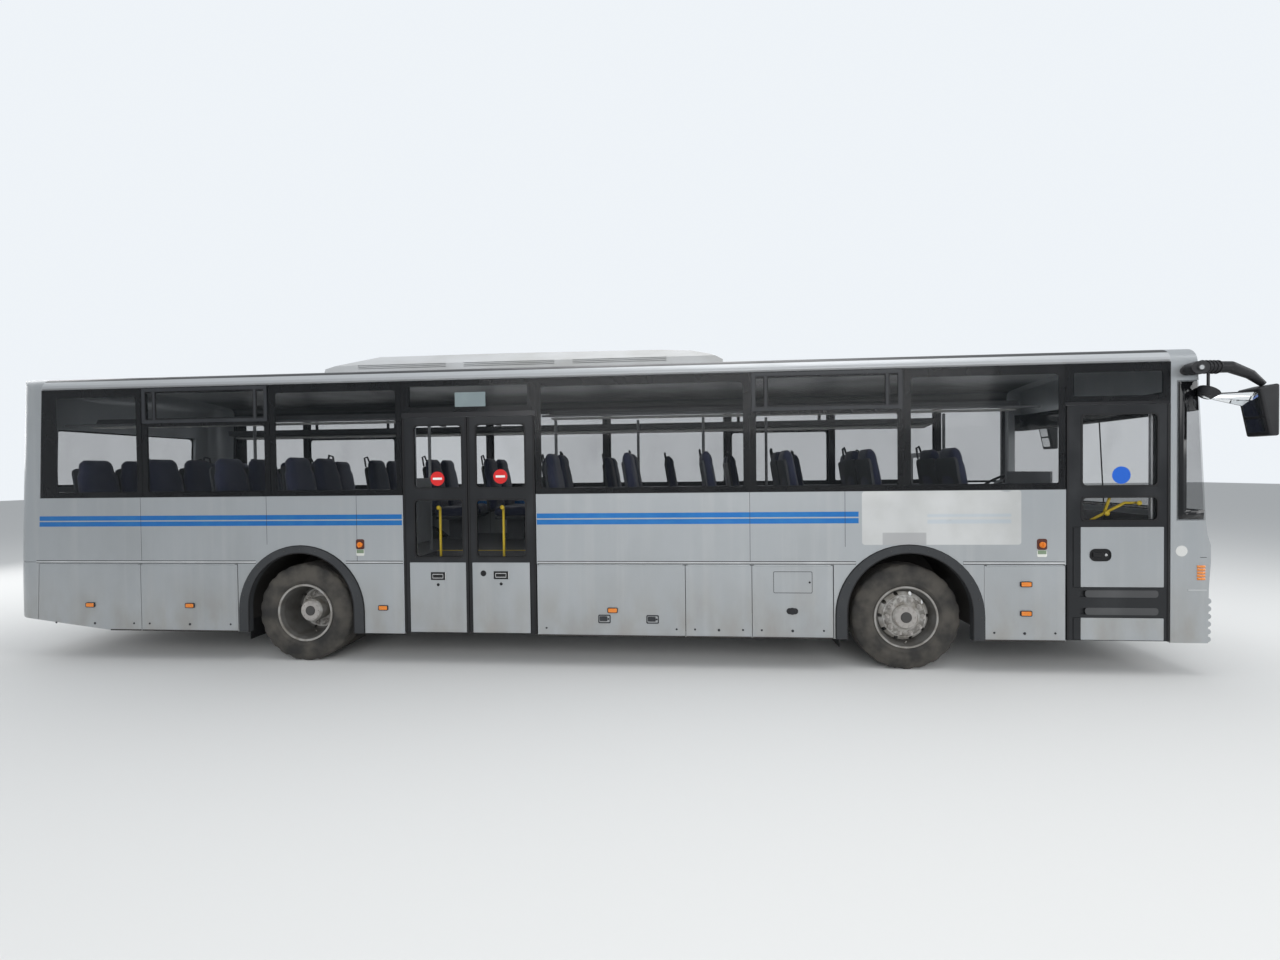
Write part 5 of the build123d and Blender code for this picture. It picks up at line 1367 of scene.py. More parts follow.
plate(bm, circle(at(4.999), 0.579, 0.034, 24), right_side, -0.001, 0.010, 0.005)
plate(bm, rounded(at(4.999) - 0.055, at(4.999) + 0.055, 0.579 - 0.030, 0.579 + 0.030, 0.028), right_side,
      -0.001, 0.006, 0.003)
piece("dark_marker", bm, black_plastic, "fuel_flap")

# Emergency valves: a round orange knob on a brown plate over a blank pale label
valve_bm = bmesh.new()
valve_plate = bmesh.new()
valve_label = bmesh.new()
valve_patch = bmesh.new()
for s, z in ((0.650, 1.228), (7.283, 1.219)):
    plate(valve_plate, rounded(at(s) - 0.045, at(s) + 0.045, z - 0.048, z + 0.056, 0.02), right_side,
          -0.001, 0.004, 0.002)
    plate(valve_bm, circle(at(s), z, 0.028, 24), right_side, 0.003, 0.022, 0.008)
    plate(valve_bm, rounded(at(s) - 0.006, at(s) + 0.006, z - 0.026, z + 0.026, 0.003, 2), right_side, 0.02,
          0.030, 0.003)
    plate(valve_label, rounded(at(s) - 0.043, at(s) + 0.043, z - 0.114, z - 0.050, 0.012), right_side,
          -0.001, 0.0012, 0.0004)
    plate(valve_patch, rounded(at(s) - 0.038, at(s) + 0.038, z - 0.088, z - 0.052, 0.004, 2), right_side,
          0.0, 0.0020, 0.0004)
piece("valve_plates", valve_plate, valve_brown, "root")
piece("valve_knobs", valve_bm, valve_orange, "root")
piece("valve_labels", valve_label, label_pale, "root")
piece("valve_patches", valve_patch, label_green, "root")
print("side trim made")

# %% [markdown]
# Each flare gets the rubber bead that seals it to the wall and a row of screws. The
# row of screws is a second use of geometry nodes: a part repeated along an arch curve
# given by its centre, radius and count.

# %% Flare beads and screws
arch_outer = 0.679
arch_top = 1.215
flare_proud = 0.014


def arch_line(x, radius, top, leg_low, place, depth, steps=28):
    """Points up one leg of an arch, over its crown and down the other leg."""
    centre = top - radius
    points = [place(x - radius, leg_low, depth)]
    for k in range(steps + 1):
        angle = math.pi - math.pi * k / steps
        points.append(place(x + radius * math.cos(angle), centre + radius * math.sin(angle), depth))
    points.append(place(x + radius, leg_low, depth))
    return points


def arch_points(new, link, source, copies):
    """Points over the crown of an arch."""
    arc = new("GeometryNodeCurveArc")
    arc.inputs["Start Angle"].default_value = 0.0
    arc.inputs["Sweep Angle"].default_value = math.pi
    link(source.outputs["Radius"], arc.inputs["Radius"])
    points = new("GeometryNodeCurveToPoints")
    points.mode = "COUNT"
    link(arc.outputs[0], points.inputs["Curve"])
    link(source.outputs["Count"], points.inputs["Count"])
    link(points.outputs["Points"], copies.inputs["Points"])


ring_nodes, ring_sockets = repeat_group("arch_of_parts", arch_points)
screw_bm = bmesh.new()
plate(screw_bm, circle(0, 0, 0.006, 10), upright, 0.0, 0.003, 0.0015)
screw = part_object("flare_screw", screw_bm)
screw_inset = 0.030
for side, place, outward in (("right", right_side, -1), ("left", left_side, 1)):
    bead = bmesh.new()
    screws = bmesh.new()
    for x in (rear_axle.x, front_axle.x):
        tube(bead, arch_line(x, arch_outer + 0.003, arch_top + 0.003, SKIRT + 0.004, place, 0.002), 0.0055, 6)
        tube(bead, arch_line(x, arch_outer - 0.107 + 0.004, arch_top - 0.075 + 0.004, SKIRT + 0.004, place,
                             flare_proud - 0.004), 0.007, 6)
        ring = ring_mesh("flare_screws", screw, 13, arch_outer - screw_inset, dull_steel)
        stand = Matrix.Rotation(math.radians(90 if outward < 0 else -90), 4, "X")
        flat = Matrix.Scale(-1, 4, Vector((0, 0, 1))) if outward > 0 else Matrix.Identity(4)
        centre = Vector((x, outward * (-side_y + flare_proud), arch_top - arch_outer))
        ring.transform(Matrix.Translation(centre) @ flat @ stand)
        screws.from_mesh(ring)
        bpy.data.meshes.remove(ring)
    piece("flare_beads_" + side, bead, rubber, "root")
    piece("flare_screws_" + side, screws, dull_steel, "root")
bpy.data.objects.remove(screw)
print("flares beaded and screwed")

# %% [markdown]
# The doors get their handles, locks and button, the plain warning discs on the glass
# (the red ones keep only a white bar, the blue and the white ones are blank) and the
# blank grey plaque in the pane over the middle door.

# %% Door fittings
disc_red = moulded("disc_red", (0.60, 0.02, 0.02), 0.35, 60.0, 0.0001)
disc_blue = moulded("disc_blue", (0.02, 0.12, 0.55), 0.35, 60.0, 0.0001)
disc_white = moulded("disc_white", (0.80, 0.80, 0.78), 0.35, 60.0, 0.0001)
plaque_grey = moulded("weathered_plaque", (0.20, 0.245, 0.255), 0.45, 60.0, 0.0001)
handle_black = moulded("handle_black", (0.012, 0.012, 0.013), 0.35, 90.0, 0.0003)
chrome = Finish("worn_chrome", (0.60, 0.60, 0.60), 0.22, 1.0)


def slot_handle(dark, metal, s, z, width, height):
    """Square-cut dish with a bright inner frame round a dark slot, and a lock below it."""
    def frame(u_half, v_half):
        return rounded(at(s) - u_half, at(s) + u_half, z - v_half, z + v_half, 0.004, 3)

    plate(dark, frame(width / 2, height / 2), right_side, 0.0, 0.005, 0.002)
    frame_ring(metal, frame(width * 0.37, height * 0.28), frame(width * 0.34, height * 0.20), right_side,
               0.004, 0.008)
    edge = at(s) + width / 2
    plate(metal, rounded(edge, edge + 0.010, z - height / 2, z + height / 2, 0.004), right_side, 0.0, 0.006,
          0.003)
    lock(dark, s, z - height / 2 - 0.048, right_side, 0.016)


def recessed_handle(dark, metal, s, z, width, height):
    """Oblong dish with a lever at the left and a round lock at the right."""
    outer = rounded(at(s) - width / 2, at(s) + width / 2, z - height / 2, z + height / 2, height * 0.42)
    inner = rounded(at(s) - width / 2 + 0.008, at(s) + width / 2 - 0.008, z - height / 2 + 0.008,
                    z + height / 2 - 0.008, height * 0.36)
    frame_ring(dark, outer, inner, right_side, 0.0, 0.008)
    plate(dark, inner, right_side, 0.0, 0.0028, 0.0005)
    lever = rounded(at(s) - width * 0.38, at(s) + width * 0.12, z - height * 0.20, z + height * 0.24, 0.012)
    plate(dark, lever, right_side, 0.002, 0.016, 0.006)
    plate(metal, circle(at(s) + width * 0.27, z, 0.013, 20), right_side, 0.002, 0.009, 0.003)


# Columns: door, handle, place of the handle, its width and height
handle_rows = [("front_door", recessed_handle, (7.791, 1.124), (0.185, 0.115)),
               ("mid_door_rear", slot_handle, (1.472, 0.908), (0.15, 0.08)),
               ("mid_door_front", slot_handle, (2.126, 0.919), (0.15, 0.08))]
for name, handle, handle_at, size in handle_rows:
    dark = bmesh.new()
    metal = bmesh.new()
    handle(dark, metal, *handle_at, *size)
    body = body_of_node[name]
    piece(name + "_handle", dark, handle_black, body)
    piece(name + "_lock", metal, chrome, body)
bm = bmesh.new()
plate(bm, circle(at(1.945), 0.937, 0.022, 22), right_side, -0.001, 0.010, 0.004)
plate(bm, circle(at(1.945), 0.937, 0.030, 22), right_side, -0.001, 0.0045, 0.002)
piece("mid_door_button", bm, handle_black, body_of_node["mid_door_front"])

disc_depth = (-0.0062, -0.0054)
for name, s, z in (("mid_door_rear", 1.479, 1.896), ("mid_door_front", 2.133, 1.912)):
    red = bmesh.new()
    white = bmesh.new()
    plate(red, circle(at(s), z, 0.0725, 36), right_side, *disc_depth)
    plate(white, rounded(at(s) - 0.048, at(s) + 0.048, z - 0.011, z + 0.011, 0.003, 2), right_side, -0.0056,
          -0.0050)
    piece(name + "_red_disc", red, disc_red, body_of_node[name])
    piece(name + "_white_bar", white, disc_white, body_of_node[name])
bm = bmesh.new()
plate(bm, circle(at(7.978), 1.859, 0.080, 36), right_side, *disc_depth)
piece("front_door_blue_disc", bm, disc_blue, body_of_node["front_door"])
bm = bmesh.new()
plate(bm, rounded(at(1.677), at(1.993), 2.618, 2.763, 0.004, 2), right_side, -0.0020, 0.0012, 0.0006)
piece("blank_plaque", bm, plaque_grey, "root")
print("door fittings made")

# %% [markdown]
# The nose, the tail and the mirrors are curved, so their trim is draped: a grid of
# points is cast on to the source's own surface and thickened into a closed sheet.

# %% Draped trim
def caster(node_names):
    """Function that casts a ray on to some nodes and returns the point hit and its normal."""
    vertices = []
    polygons = []
    for node_name in node_names:
        mesh = nodes[node_name].data
        first = len(vertices)
        vertices.extend(v.co.copy() for v in mesh.vertices)
        polygons.extend([first + i for i in face.vertices] for face in mesh.polygons)
    tree = BVHTree.FromPolygons(vertices, polygons)

    def cast(origin, direction):
        point, normal, _, _ = tree.ray_cast(Vector(origin), Vector(direction))
        if point is None:
            return Vector(origin), -Vector(direction)
        if normal.dot(Vector(direction)) > 0:
            normal = -normal
        return point, normal

    return cast


nose_cast = caster(["front_mask", "windscreen", "front_bumper", "lamps"])
tail_cast = caster(["rear_mask", "body_glass", "lamps"])
lid_cast = caster(["engine_lid"])
mirror_cast = caster(["mirrors"])
NOSE_EYE = 5.20


def round_nose(angle, z, w):
    """Place on the nose by the angle in degrees from straight ahead, right-hand side negative."""
    a = math.radians(angle)
    outward = Vector((math.cos(a), math.sin(a), 0))
    point, normal = nose_cast(Vector((NOSE_EYE, 0, z)) + outward * 3.0, -outward)
    return point + normal * w


def on_nose(y, z, w):
    point, normal = nose_cast((7.0, y, z), (-1, 0, 0))
    return point + normal * w


def on_kerb(x, z, w):
    point, normal = nose_cast((x, -2.0, z), (0, 1, 0))
    return point + normal * w


def on_tail(y, z, w):
    point, normal = tail_cast((-7.0, y, z), (1, 0, 0))
    return point + normal * w


def on_lid(y, z, w):
    point, normal = lid_cast((-7.0, y, z), (1, 0, 0))
    return point + normal * w


def draped(bm, rows, place, w0, w1, closed=False):
    """Closed sheet through rows of (u, v) points, from depth w0 to w1 over the surface."""
    low = [[bm.verts.new(place(u, v, w0)) for u, v in row] for row in rows]
    high = [[bm.verts.new(place(u, v, w1)) for u, v in row] for row in rows]
    count = len(rows[0])
    spans = count if closed else count - 1
    for a in range(len(rows) - 1):
        for n in range(spans):
            m = (n + 1) % count
            bm.faces.new((high[a][n], high[a][m], high[a + 1][m], high[a + 1][n]))
            bm.faces.new((low[a][n], low[a + 1][n], low[a + 1][m], low[a][m]))
    for row_low, row_high in ((low[0], high[0]), (low[-1], high[-1])):
        for n in range(spans):
            m = (n + 1) % count
            bm.faces.new((row_low[n], row_low[m], row_high[m], row_high[n]))
    if not closed:
        for end in (0, -1):
            for a in range(len(rows) - 1):
                bm.faces.new((low[a][end], low[a + 1][end], high[a + 1][end], high[a][end]))


def lined(outline, step):
    """The outline with points added so that no side is longer than a step."""
    out = []
    for (u0, v0), (u1, v1) in zip(outline, outline[1:] + outline[:1]):
        parts = max(1, int(math.hypot(u1 - u0, v1 - v0) / step))
        out.extend((u0 + (u1 - u0) * k / parts, v0 + (v1 - v0) * k / parts) for k in range(parts))
    return out


def ring_rows(outer, inner, step):
    """Two outlines with as many corners, lined with as many points."""
    rows = [[], []]
    for n in range(len(outer)):
        m = (n + 1) % len(outer)
        length = math.hypot(outer[m][0] - outer[n][0], outer[m][1] - outer[n][1])
        parts = max(1, int(length / step))
        for k in range(parts):
            for row, line in zip(rows, (outer, inner)):
                row.append(tuple(a + (b - a) * k / parts for a, b in zip(line[n], line[m])))
    return rows


def across(u0, u1, v0, v1, step, bands=1):
    """Rows of points for a level strip."""
    parts = max(1, int(abs(u1 - u0) / step))
    return [[(u0 + (u1 - u0) * k / parts, v0 + (v1 - v0) * b / bands) for k in range(parts + 1)]
            for b in range(bands + 1)]


def patch_rows(outline, rings=3):
    """Rows from an outline in to its middle."""
    cx = sum(p[0] for p in outline) / len(outline)
    cz = sum(p[1] for p in outline) / len(outline)
    return [[(cx + (u - cx) * share, cz + (v - cz) * share) for u, v in outline]
            for share in [1.0 - n * 0.96 / rings for n in range(rings + 1)]]


def patch(bm, outline, place, w0, w1, step=0.05):
    """Draped sheet with an outline."""
    draped(bm, patch_rows(lined(outline, step)), place, w0, w1, closed=True)


# %% Windscreen border and nose trim
screen_gloss = Finish("screen_border", (0.006, 0.006, 0.007), 0.12)
border = bmesh.new()
draped(border,
       ring_rows(rounded(-73.2, 73.2, 1.452, 2.703, 0.06), rounded(-70.6, 70.6, 1.535, 2.440, 0.05), 2.0),
       round_nose, -0.002, 0.0022, closed=True)
piece("windscreen_border", border, screen_gloss, "root", smooth=True)
divider = bmesh.new()
patch(divider, rounded(-0.008, 0.008, 1.50, 2.46, 0.004, 2), on_nose, -0.001, 0.0032)
piece("windscreen_divider", divider, rubber, "root")
board = bmesh.new()
patch(board, rounded(-0.72, 0.72, 2.475, 2.645, 0.02), on_nose, 0.0018, 0.0030)
blank_board = moulded("blank_board", (0.012, 0.011, 0.010), 0.25, 400.0, 0.0001)
piece("blank_destination_board", board, blank_board, "root")

lip = bmesh.new()
draped(lip, across(-70, 70, 0.797, 0.809, 2.0), round_nose, -0.002, 0.004)
for level in (0.905, 0.960, 1.015):
    draped(lip, across(-0.425, 0.425, level - 0.021, level - 0.013, 0.05), on_nose, -0.002, 0.005)
piece("bumper_and_slot_lips", lip, pale_strip, "root")
dark = bmesh.new()
for level in (0.905, 0.960, 1.015):
    draped(dark, across(-0.415, 0.415, level - 0.011, level + 0.011, 0.05), on_nose, 0.0005, 0.003)
    for k in range(21):
        y = -0.40 + 0.04 * k
        draped(dark, across(y - 0.002, y + 0.002, level - 0.011, level + 0.011, 0.01), on_nose, 0.003, 0.007)
piece("nose_slot_mesh", dark, black_plastic, "root")
seams = bmesh.new()
for y in (-0.60, 0.60):
    patch(seams, rounded(y - 0.002, y + 0.002, 1.10, 1.42, 0.001, 1), on_nose, -0.001, 0.0012, 0.04)
draped(seams, across(-66, 66, 1.100, 1.104, 2.0), round_nose, -0.001, 0.0012)
for y in (-0.52, 0.52):
    patch(seams, circle(y, 1.16, 0.014, 14), on_nose, -0.001, 0.003)
piece("nose_seams_and_locks", seams, rubber, "root")

blank_plate = moulded("blank_plate", (0.62, 0.61, 0.56), 0.45, 300.0, 0.0002)
for name, place, z in (("front", on_nose, 0.45), ("rear", on_tail, 1.62)):
    bm = bmesh.new()
    outer = rounded(-0.235, 0.235, z - 0.052, z + 0.052, 0.012, 3)
    inner = rounded(-0.225, 0.225, z - 0.043, z + 0.043, 0.008, 3)
    draped(bm, ring_rows(outer, inner, 0.05), place, -0.001, 0.006, closed=True)
    piece(name + "_plate_holder", bm, black_plastic, "root")
    bm = bmesh.new()
    patch(bm, inner, place, 0.0, 0.004)
    piece(name + "_blank_plate", bm, blank_plate, "root")
white_disc = bmesh.new()
patch(white_disc, circle(at(8.49), 1.16, 0.05, 24), on_kerb, -0.001, 0.0012)
plain_white = Finish("plain_white_disc", (0.62, 0.62, 0.60), 0.5)
piece("plain_white_disc", white_disc, plain_white, "root")
print("nose trim on")

# %% [markdown]
# Each headlamp is a dark bowl under a clear cover with three round lights of different
# sizes, the fog lamps are round glass in a bright ring, and the tail lamps are stacks of
# red, amber and white lenses with fine ribs in a black bezel.

# %% Lamps at both ends
lamp_glass = Finish("lamp_glass", (0.55, 0.57, 0.58), 0.08)
lamp_glass.set("Coat Weight", 1.0)
lamp_chrome = Finish("lamp_chrome", (0.75, 0.76, 0.77), 0.10, 1.0)
red_lens = Finish("red_lens", (0.45, 0.012, 0.010), 0.15)
red_lens.relief(red_lens.noise(300.0, 1.0), 0.0004, 0.4)
clear_lens = Finish("clear_lens", (0.60, 0.60, 0.58), 0.12)
bowl = bmesh.new()
rims = bmesh.new()
glasses = bmesh.new()
turn_lens = bmesh.new()
# Columns: y, z and radius of each light
head_lights = [(0.620, 0.915, 0.048), (0.790, 0.935, 0.066), (0.985, 0.955, 0.070)]
head_corners = [(0.515, 0.858), (1.085, 0.868), (1.085, 1.040), (0.575, 0.977)]
for sign in (-1, 1):
    patch(bowl, [(sign * y, z) for y, z in head_corners], on_nose, 0.0002, 0.0016, 0.03)
    for y, z, radius in head_lights:
        y = sign * y
        rim_rows = [circle(y, z, radius, 36), circle(y, z, radius * 0.90, 36)]
        draped(rims, rim_rows, on_nose, 0.001, 0.010, closed=True)
        rows = [circle(y, z, radius * share, 36) for share in (0.90, 0.75, 0.5, 0.25, 0.05)]
        for share in (0.30, 0.55, 0.78):
            draped(rims, [circle(y, z, radius * share, 36), circle(y, z, radius * (share - 0.03), 36)],
                   on_nose, 0.004, 0.0062, closed=True)
        draped(glasses, rows, on_nose, 0.001, 0.005, closed=True)
    for k in range(5):
        z0 = 0.895 + 0.028 * k
        a0, a1 = sorted((sign * 59.5, sign * 67.0))
        draped(turn_lens, across(a0, a1, z0, z0 + 0.022, 2.0), round_nose, -0.001, 0.0035)
    patch(glasses, circle(sign * 0.83, 0.562, 0.043, 30), on_nose, -0.001, 0.004, 0.02)
    draped(rims, [circle(sign * 0.83, 0.562, 0.056, 36), circle(sign * 0.83, 0.562, 0.046, 36)], on_nose,
           -0.001, 0.007, closed=True)
piece("headlamp_bowls", bowl, screen_gloss, "root", smooth=True)
piece("headlamp_rings", rims, lamp_chrome, "root", smooth=True)
piece("headlamp_glasses", glasses, lamp_glass, "root", smooth=True)
piece("front_turn_lenses", turn_lens, amber, "root", smooth=True)

bezel = bmesh.new()
lenses = {"red": bmesh.new(), "amber": bmesh.new(), "clear": bmesh.new()}
# Columns: colour, bottom, top
tail_rows = [("red", 0.712, 0.800), ("red", 0.808, 0.896), ("amber", 0.904, 0.992), ("clear", 1.000, 1.058),
             ("red", 1.066, 1.138)]
for sign in (-1, 1):
    y0, y1 = sorted((sign * 1.014, sign * 1.146))
    bezel_outer = rounded(y0, y1, 0.703, 1.147, 0.012, 3)
    bezel_inner = rounded(y0 + 0.008, y1 - 0.008, 0.711, 1.139, 0.008, 3)
    draped(bezel, ring_rows(bezel_outer, bezel_inner, 0.03), on_tail, -0.001, 0.004, closed=True)
    for colour, z0, z1 in tail_rows:
        ribs = int((z1 - z0) / 0.012)
        draped(lenses[colour], across(y0 + 0.009, y1 - 0.009, z0, z1, 0.02), on_tail, -0.001, 0.0022)
        for k in range(ribs):
            z = z0 + 0.006 + 0.012 * k
            draped(lenses[colour], across(y0 + 0.012, y1 - 0.012, z - 0.003, z + 0.003, 0.02), on_tail,
                   0.0022, 0.0034)
piece("tail_lamp_bezels", bezel, black_plastic, "root")
for colour, finish in (("red", red_lens), ("amber", amber), ("clear", clear_lens)):
    piece("tail_lenses_" + colour, lenses[colour], finish, "root")

# %% Tail trim
tail_border = bmesh.new()
border_outer = rounded(-0.926, 0.926, 1.804, 2.556, 0.05)
border_inner = rounded(-0.865, 0.865, 1.868, 2.492, 0.05)
draped(tail_border, ring_rows(border_outer, border_inner, 0.10), on_tail, -0.001, 0.0020, closed=True)
piece("rear_window_border", tail_border, screen_gloss, "root")
high_lamp = bmesh.new()
patch(high_lamp, rounded(-0.16, 0.16, 2.615, 2.650, 0.012), on_tail, -0.001, 0.012)
for y in (-0.95, 0.95):
    patch(high_lamp, rounded(y - 0.05, y + 0.05, 2.62, 2.65, 0.012), on_tail, -0.001, 0.010)
piece("high_tail_lamps", high_lamp, red_lens, "root")
mesh_bars = bmesh.new()
for level in (1.020, 1.075, 1.130, 1.185, 1.240, 1.295, 1.350):
    draped(mesh_bars, across(-0.695, 0.695, level - 0.013, level + 0.013, 0.10), on_lid, 0.0005, 0.002)
    for k in range(46):
        y = -0.675 + 0.030 * k
        draped(mesh_bars, across(y - 0.0015, y + 0.0015, level - 0.013, level + 0.013, 0.01), on_lid, 0.002,
               0.005)
piece("lid_grille_mesh", mesh_bars, black_plastic, "engine_lid")
lid_trim = bmesh.new()
for level in (1.020, 1.075, 1.130, 1.185, 1.240, 1.295, 1.350):
    draped(lid_trim, across(-0.71, 0.71, level + 0.0155, level + 0.023, 0.10), on_lid, -0.001, 0.006)
piece("lid_louvre_lips", lid_trim, pale_strip, "engine_lid")
latches = bmesh.new()
for y in (-0.55, 0.55):
    outer = rounded(y - 0.062, y + 0.062, 0.738, 0.822, 0.012)
    inner = rounded(y - 0.052, y + 0.052, 0.748, 0.812, 0.010)
    draped(latches, [outer, inner], on_lid, -0.001, 0.0025, closed=True)
    patch(latches, rounded(y - 0.046, y + 0.030, 0.756, 0.804, 0.010), on_lid, -0.001, 0.0035)
    patch(latches, circle(y + 0.040, 0.780, 0.009, 14), on_lid, -0.001, 0.0035)
piece("lid_latches", latches, black_plastic, "engine_lid")
print("lamps and tail trim on")

# %% [markdown]
# The mirrors have slanting glass, a ribbed root, a boss with a bright pin, and the
# fans on the roof have blades under a wire guard.

# %% Mirrors
mirror_glass = Finish("mirror_glass", (0.80, 0.82, 0.84), 0.03, 1.0)


def behind_mirror(y, z, w):
    point, normal = mirror_cast((5.70, y, z), (1, 0, 0))
    return point + normal * w


glass_bm = bmesh.new()
edge_bm = bmesh.new()
root_bm = bmesh.new()
pin_bm = bmesh.new()
nose_tip = 5.92
for sign in (-1, 1):
    y0, y1 = sorted((sign * 1.300, sign * 1.460))
    for z0, z1 in ((2.225, 2.345), (2.365, 2.575)):
        patch(glass_bm, rounded(y0 + 0.004, y1 - 0.004, z0, z1, 0.02), behind_mirror, 0.0, 0.0025, 0.06)
        rim_outer = rounded(y0 - 0.004, y1 + 0.004, z0 - 0.008, z1 + 0.008, 0.024)
        rim_inner = rounded(y0 + 0.004, y1 - 0.004, z0, z1, 0.02)
        draped(edge_bm, ring_rows(rim_outer, rim_inner, 0.06), behind_mirror, -0.001, 0.005, closed=True)
    for k in range(5):
        middle = Vector((nose_tip - 0.175 + 0.026 * k, sign * (1.305 + 0.0065 * k), 2.826 - 0.002 * k))
        ring = [middle + Vector((0.0, 0.0565 * math.cos(a), 0.0565 * math.sin(a)))
                for a in [2 * math.pi * n / 28 for n in range(28)]]
        tube(root_bm, ring, 0.005, 6, closed=True)
    hub = Vector((nose_tip - 0.255, sign * 1.392, 2.808))
    tube(pin_bm, [hub, hub + Vector((0, sign * 0.010, 0))], 0.020, 20)
    tube(root_bm, [hub + Vector((0, -sign * 0.002, 0)), hub + Vector((0, sign * 0.004, 0))], 0.032, 24)
piece("mirror_glasses", glass_bm, mirror_glass, "root")
piece("mirror_edges", edge_bm, black_plastic, "root")
piece("mirror_arm_ribs", root_bm, black_plastic, "root", smooth=True)
piece("mirror_pins", pin_bm, alloy, "root")
print("mirrors on")

# %% [markdown]
# On the roof the eight fans get pitched blades under a wire guard, and the hatches a
# seal, a raised panel and a vent scoop.

# %% Roof fans and hatches
unit_low, unit_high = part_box("roof_air_unit")
fan_steel = moulded("fan_steel", (0.20, 0.20, 0.21), 0.4, 120.0, 0.0003)
blades = bmesh.new()
guards = bmesh.new()
blade_count = 7
for s in (0.9, 1.5, 2.1, 2.7):
    for y in (-0.32, 0.32):
        middle = Vector((unit_low.x + s, y, unit_high.z))
        for k in range(blade_count):
            start = 2 * math.pi * k / blade_count
            rows = []
            for radius, sweep, drop in ((0.058, 0.42, 0.018), (0.120, 0.40, 0.015), (0.196, 0.34, 0.011)):
                row = []
                for share in (-1.0, -0.3, 0.4, 1.0):
                    a = start + share * sweep
                    row.append(middle + Vector((radius * math.cos(a), radius * math.sin(a),
                                                -0.036 + drop * share - 0.004 * share * share)))
                rows.append(row)
            low = [[blades.verts.new(p - Vector((0, 0, 0.0015))) for p in row] for row in rows]
            high = [[blades.verts.new(p + Vector((0, 0, 0.0015))) for p in row] for row in rows]
            for a, b in zip(range(2), range(1, 3)):
                for n in range(3):
                    blades.faces.new((high[a][n], high[a][n + 1], high[b][n + 1], high[b][n]))
                    blades.faces.new((low[a][n], low[b][n], low[b][n + 1], low[a][n + 1]))
                for n in (0, 3):
                    blades.faces.new((low[a][n], low[b][n], high[b][n], high[a][n]))
            for a in (0, 2):
                for n in range(3):
                    blades.faces.new((low[a][n], low[a][n + 1], high[a][n + 1], high[a][n]))
        for radius in (0.070, 0.105, 0.140, 0.175, 0.2065):
            ring = [middle + Vector((radius * math.cos(a), radius * math.sin(a), -0.0125))
                    for a in [2 * math.pi * n / 36 for n in range(36)]]
            tube(guards, ring, 0.0022, 5, closed=True)
        for k in range(8):
            a = math.pi / 8 + math.pi * k / 4
            spoke = [middle + Vector((r * math.cos(a), r * math.sin(a), -0.0125)) for r in (0.068, 0.2075)]
            tube(guards, spoke, 0.0026, 5)
piece("roof_fan_blades", blades, black_plastic, "root", smooth=True)
piece("roof_fan_guards", guards, fan_steel, "root", smooth=True)

roof_cast = caster(["roof_shell", "roof_air_unit"])


def on_roof(x, y, w):
    point, normal = roof_cast((x, y, 4.0), (0, 0, -1))
    return point + normal * w


hatch_trim = bmesh.new()
hatch_seal = bmesh.new()
for s in (-1.5, 6.3):
    x = at(s)
    seal_outer = rounded(x - 0.345, x + 0.345, -0.345, 0.345, 0.03, 3)
    seal_inner = rounded(x - 0.312, x + 0.312, -0.312, 0.312, 0.005, 3)
    draped(hatch_seal, ring_rows(seal_outer, seal_inner, 0.06), on_roof, -0.001, 0.009, closed=True)
    patch(hatch_trim, rounded(x - 0.25, x + 0.25, -0.25, 0.25, 0.06), on_roof, -0.001, 0.010, 0.06)
    for y in (-0.12, 0.0, 0.12):
        patch(hatch_trim, rounded(x - 0.20, x + 0.20, y - 0.018, y + 0.018, 0.017), on_roof, 0.008, 0.016,
              0.06)
piece("hatch_panels", hatch_trim, pale_strip, "root", bevel=0.002)
piece("hatch_seals", hatch_seal, rubber, "root")
unit_trim = bmesh.new()
for s in (0.62, 3.0):
    for y0, y1 in ((-0.70, -0.04), (0.04, 0.70)):
        patch(unit_trim, rounded(unit_low.x + s - 0.003, unit_low.x + s + 0.003, y0, y1, 0.002, 1), on_roof,
              -0.001, 0.0015, 0.05)
for s in (0.70, 2.95, 3.70):
    for y in (-0.66, 0.66):
        patch(unit_trim, circle(unit_low.x + s, y, 0.011, 10), on_roof, -0.001, 0.003)
piece("roof_unit_seams", unit_trim, rubber, "root")
print("roof dressed")

# %% [markdown]
# Inside, the driver has an instrument panel with blank dials, switches, pedals and a
# gear lever. The steps have yellow nosings, the door leaves yellow grab rails, and a
# strip of lights runs under each luggage rack.

# %% Driver's place
def on_dash(y, t, w):
    """Place on the slanting face of the dashboard: across, up the face, out of it."""
    return Vector((at(8.08) + 0.316 * t - 0.949 * w, y, 1.31 + 0.949 * t + 0.316 * w))


panel = bmesh.new()
plate(panel, rounded(0.30, 1.00, 0.018, 0.178, 0.02), on_dash, -0.004, 0.008, 0.004)
piece("instrument_panel", panel, black_plastic, "root")
dials = bmesh.new()
dial_rims = bmesh.new()
needles = bmesh.new()
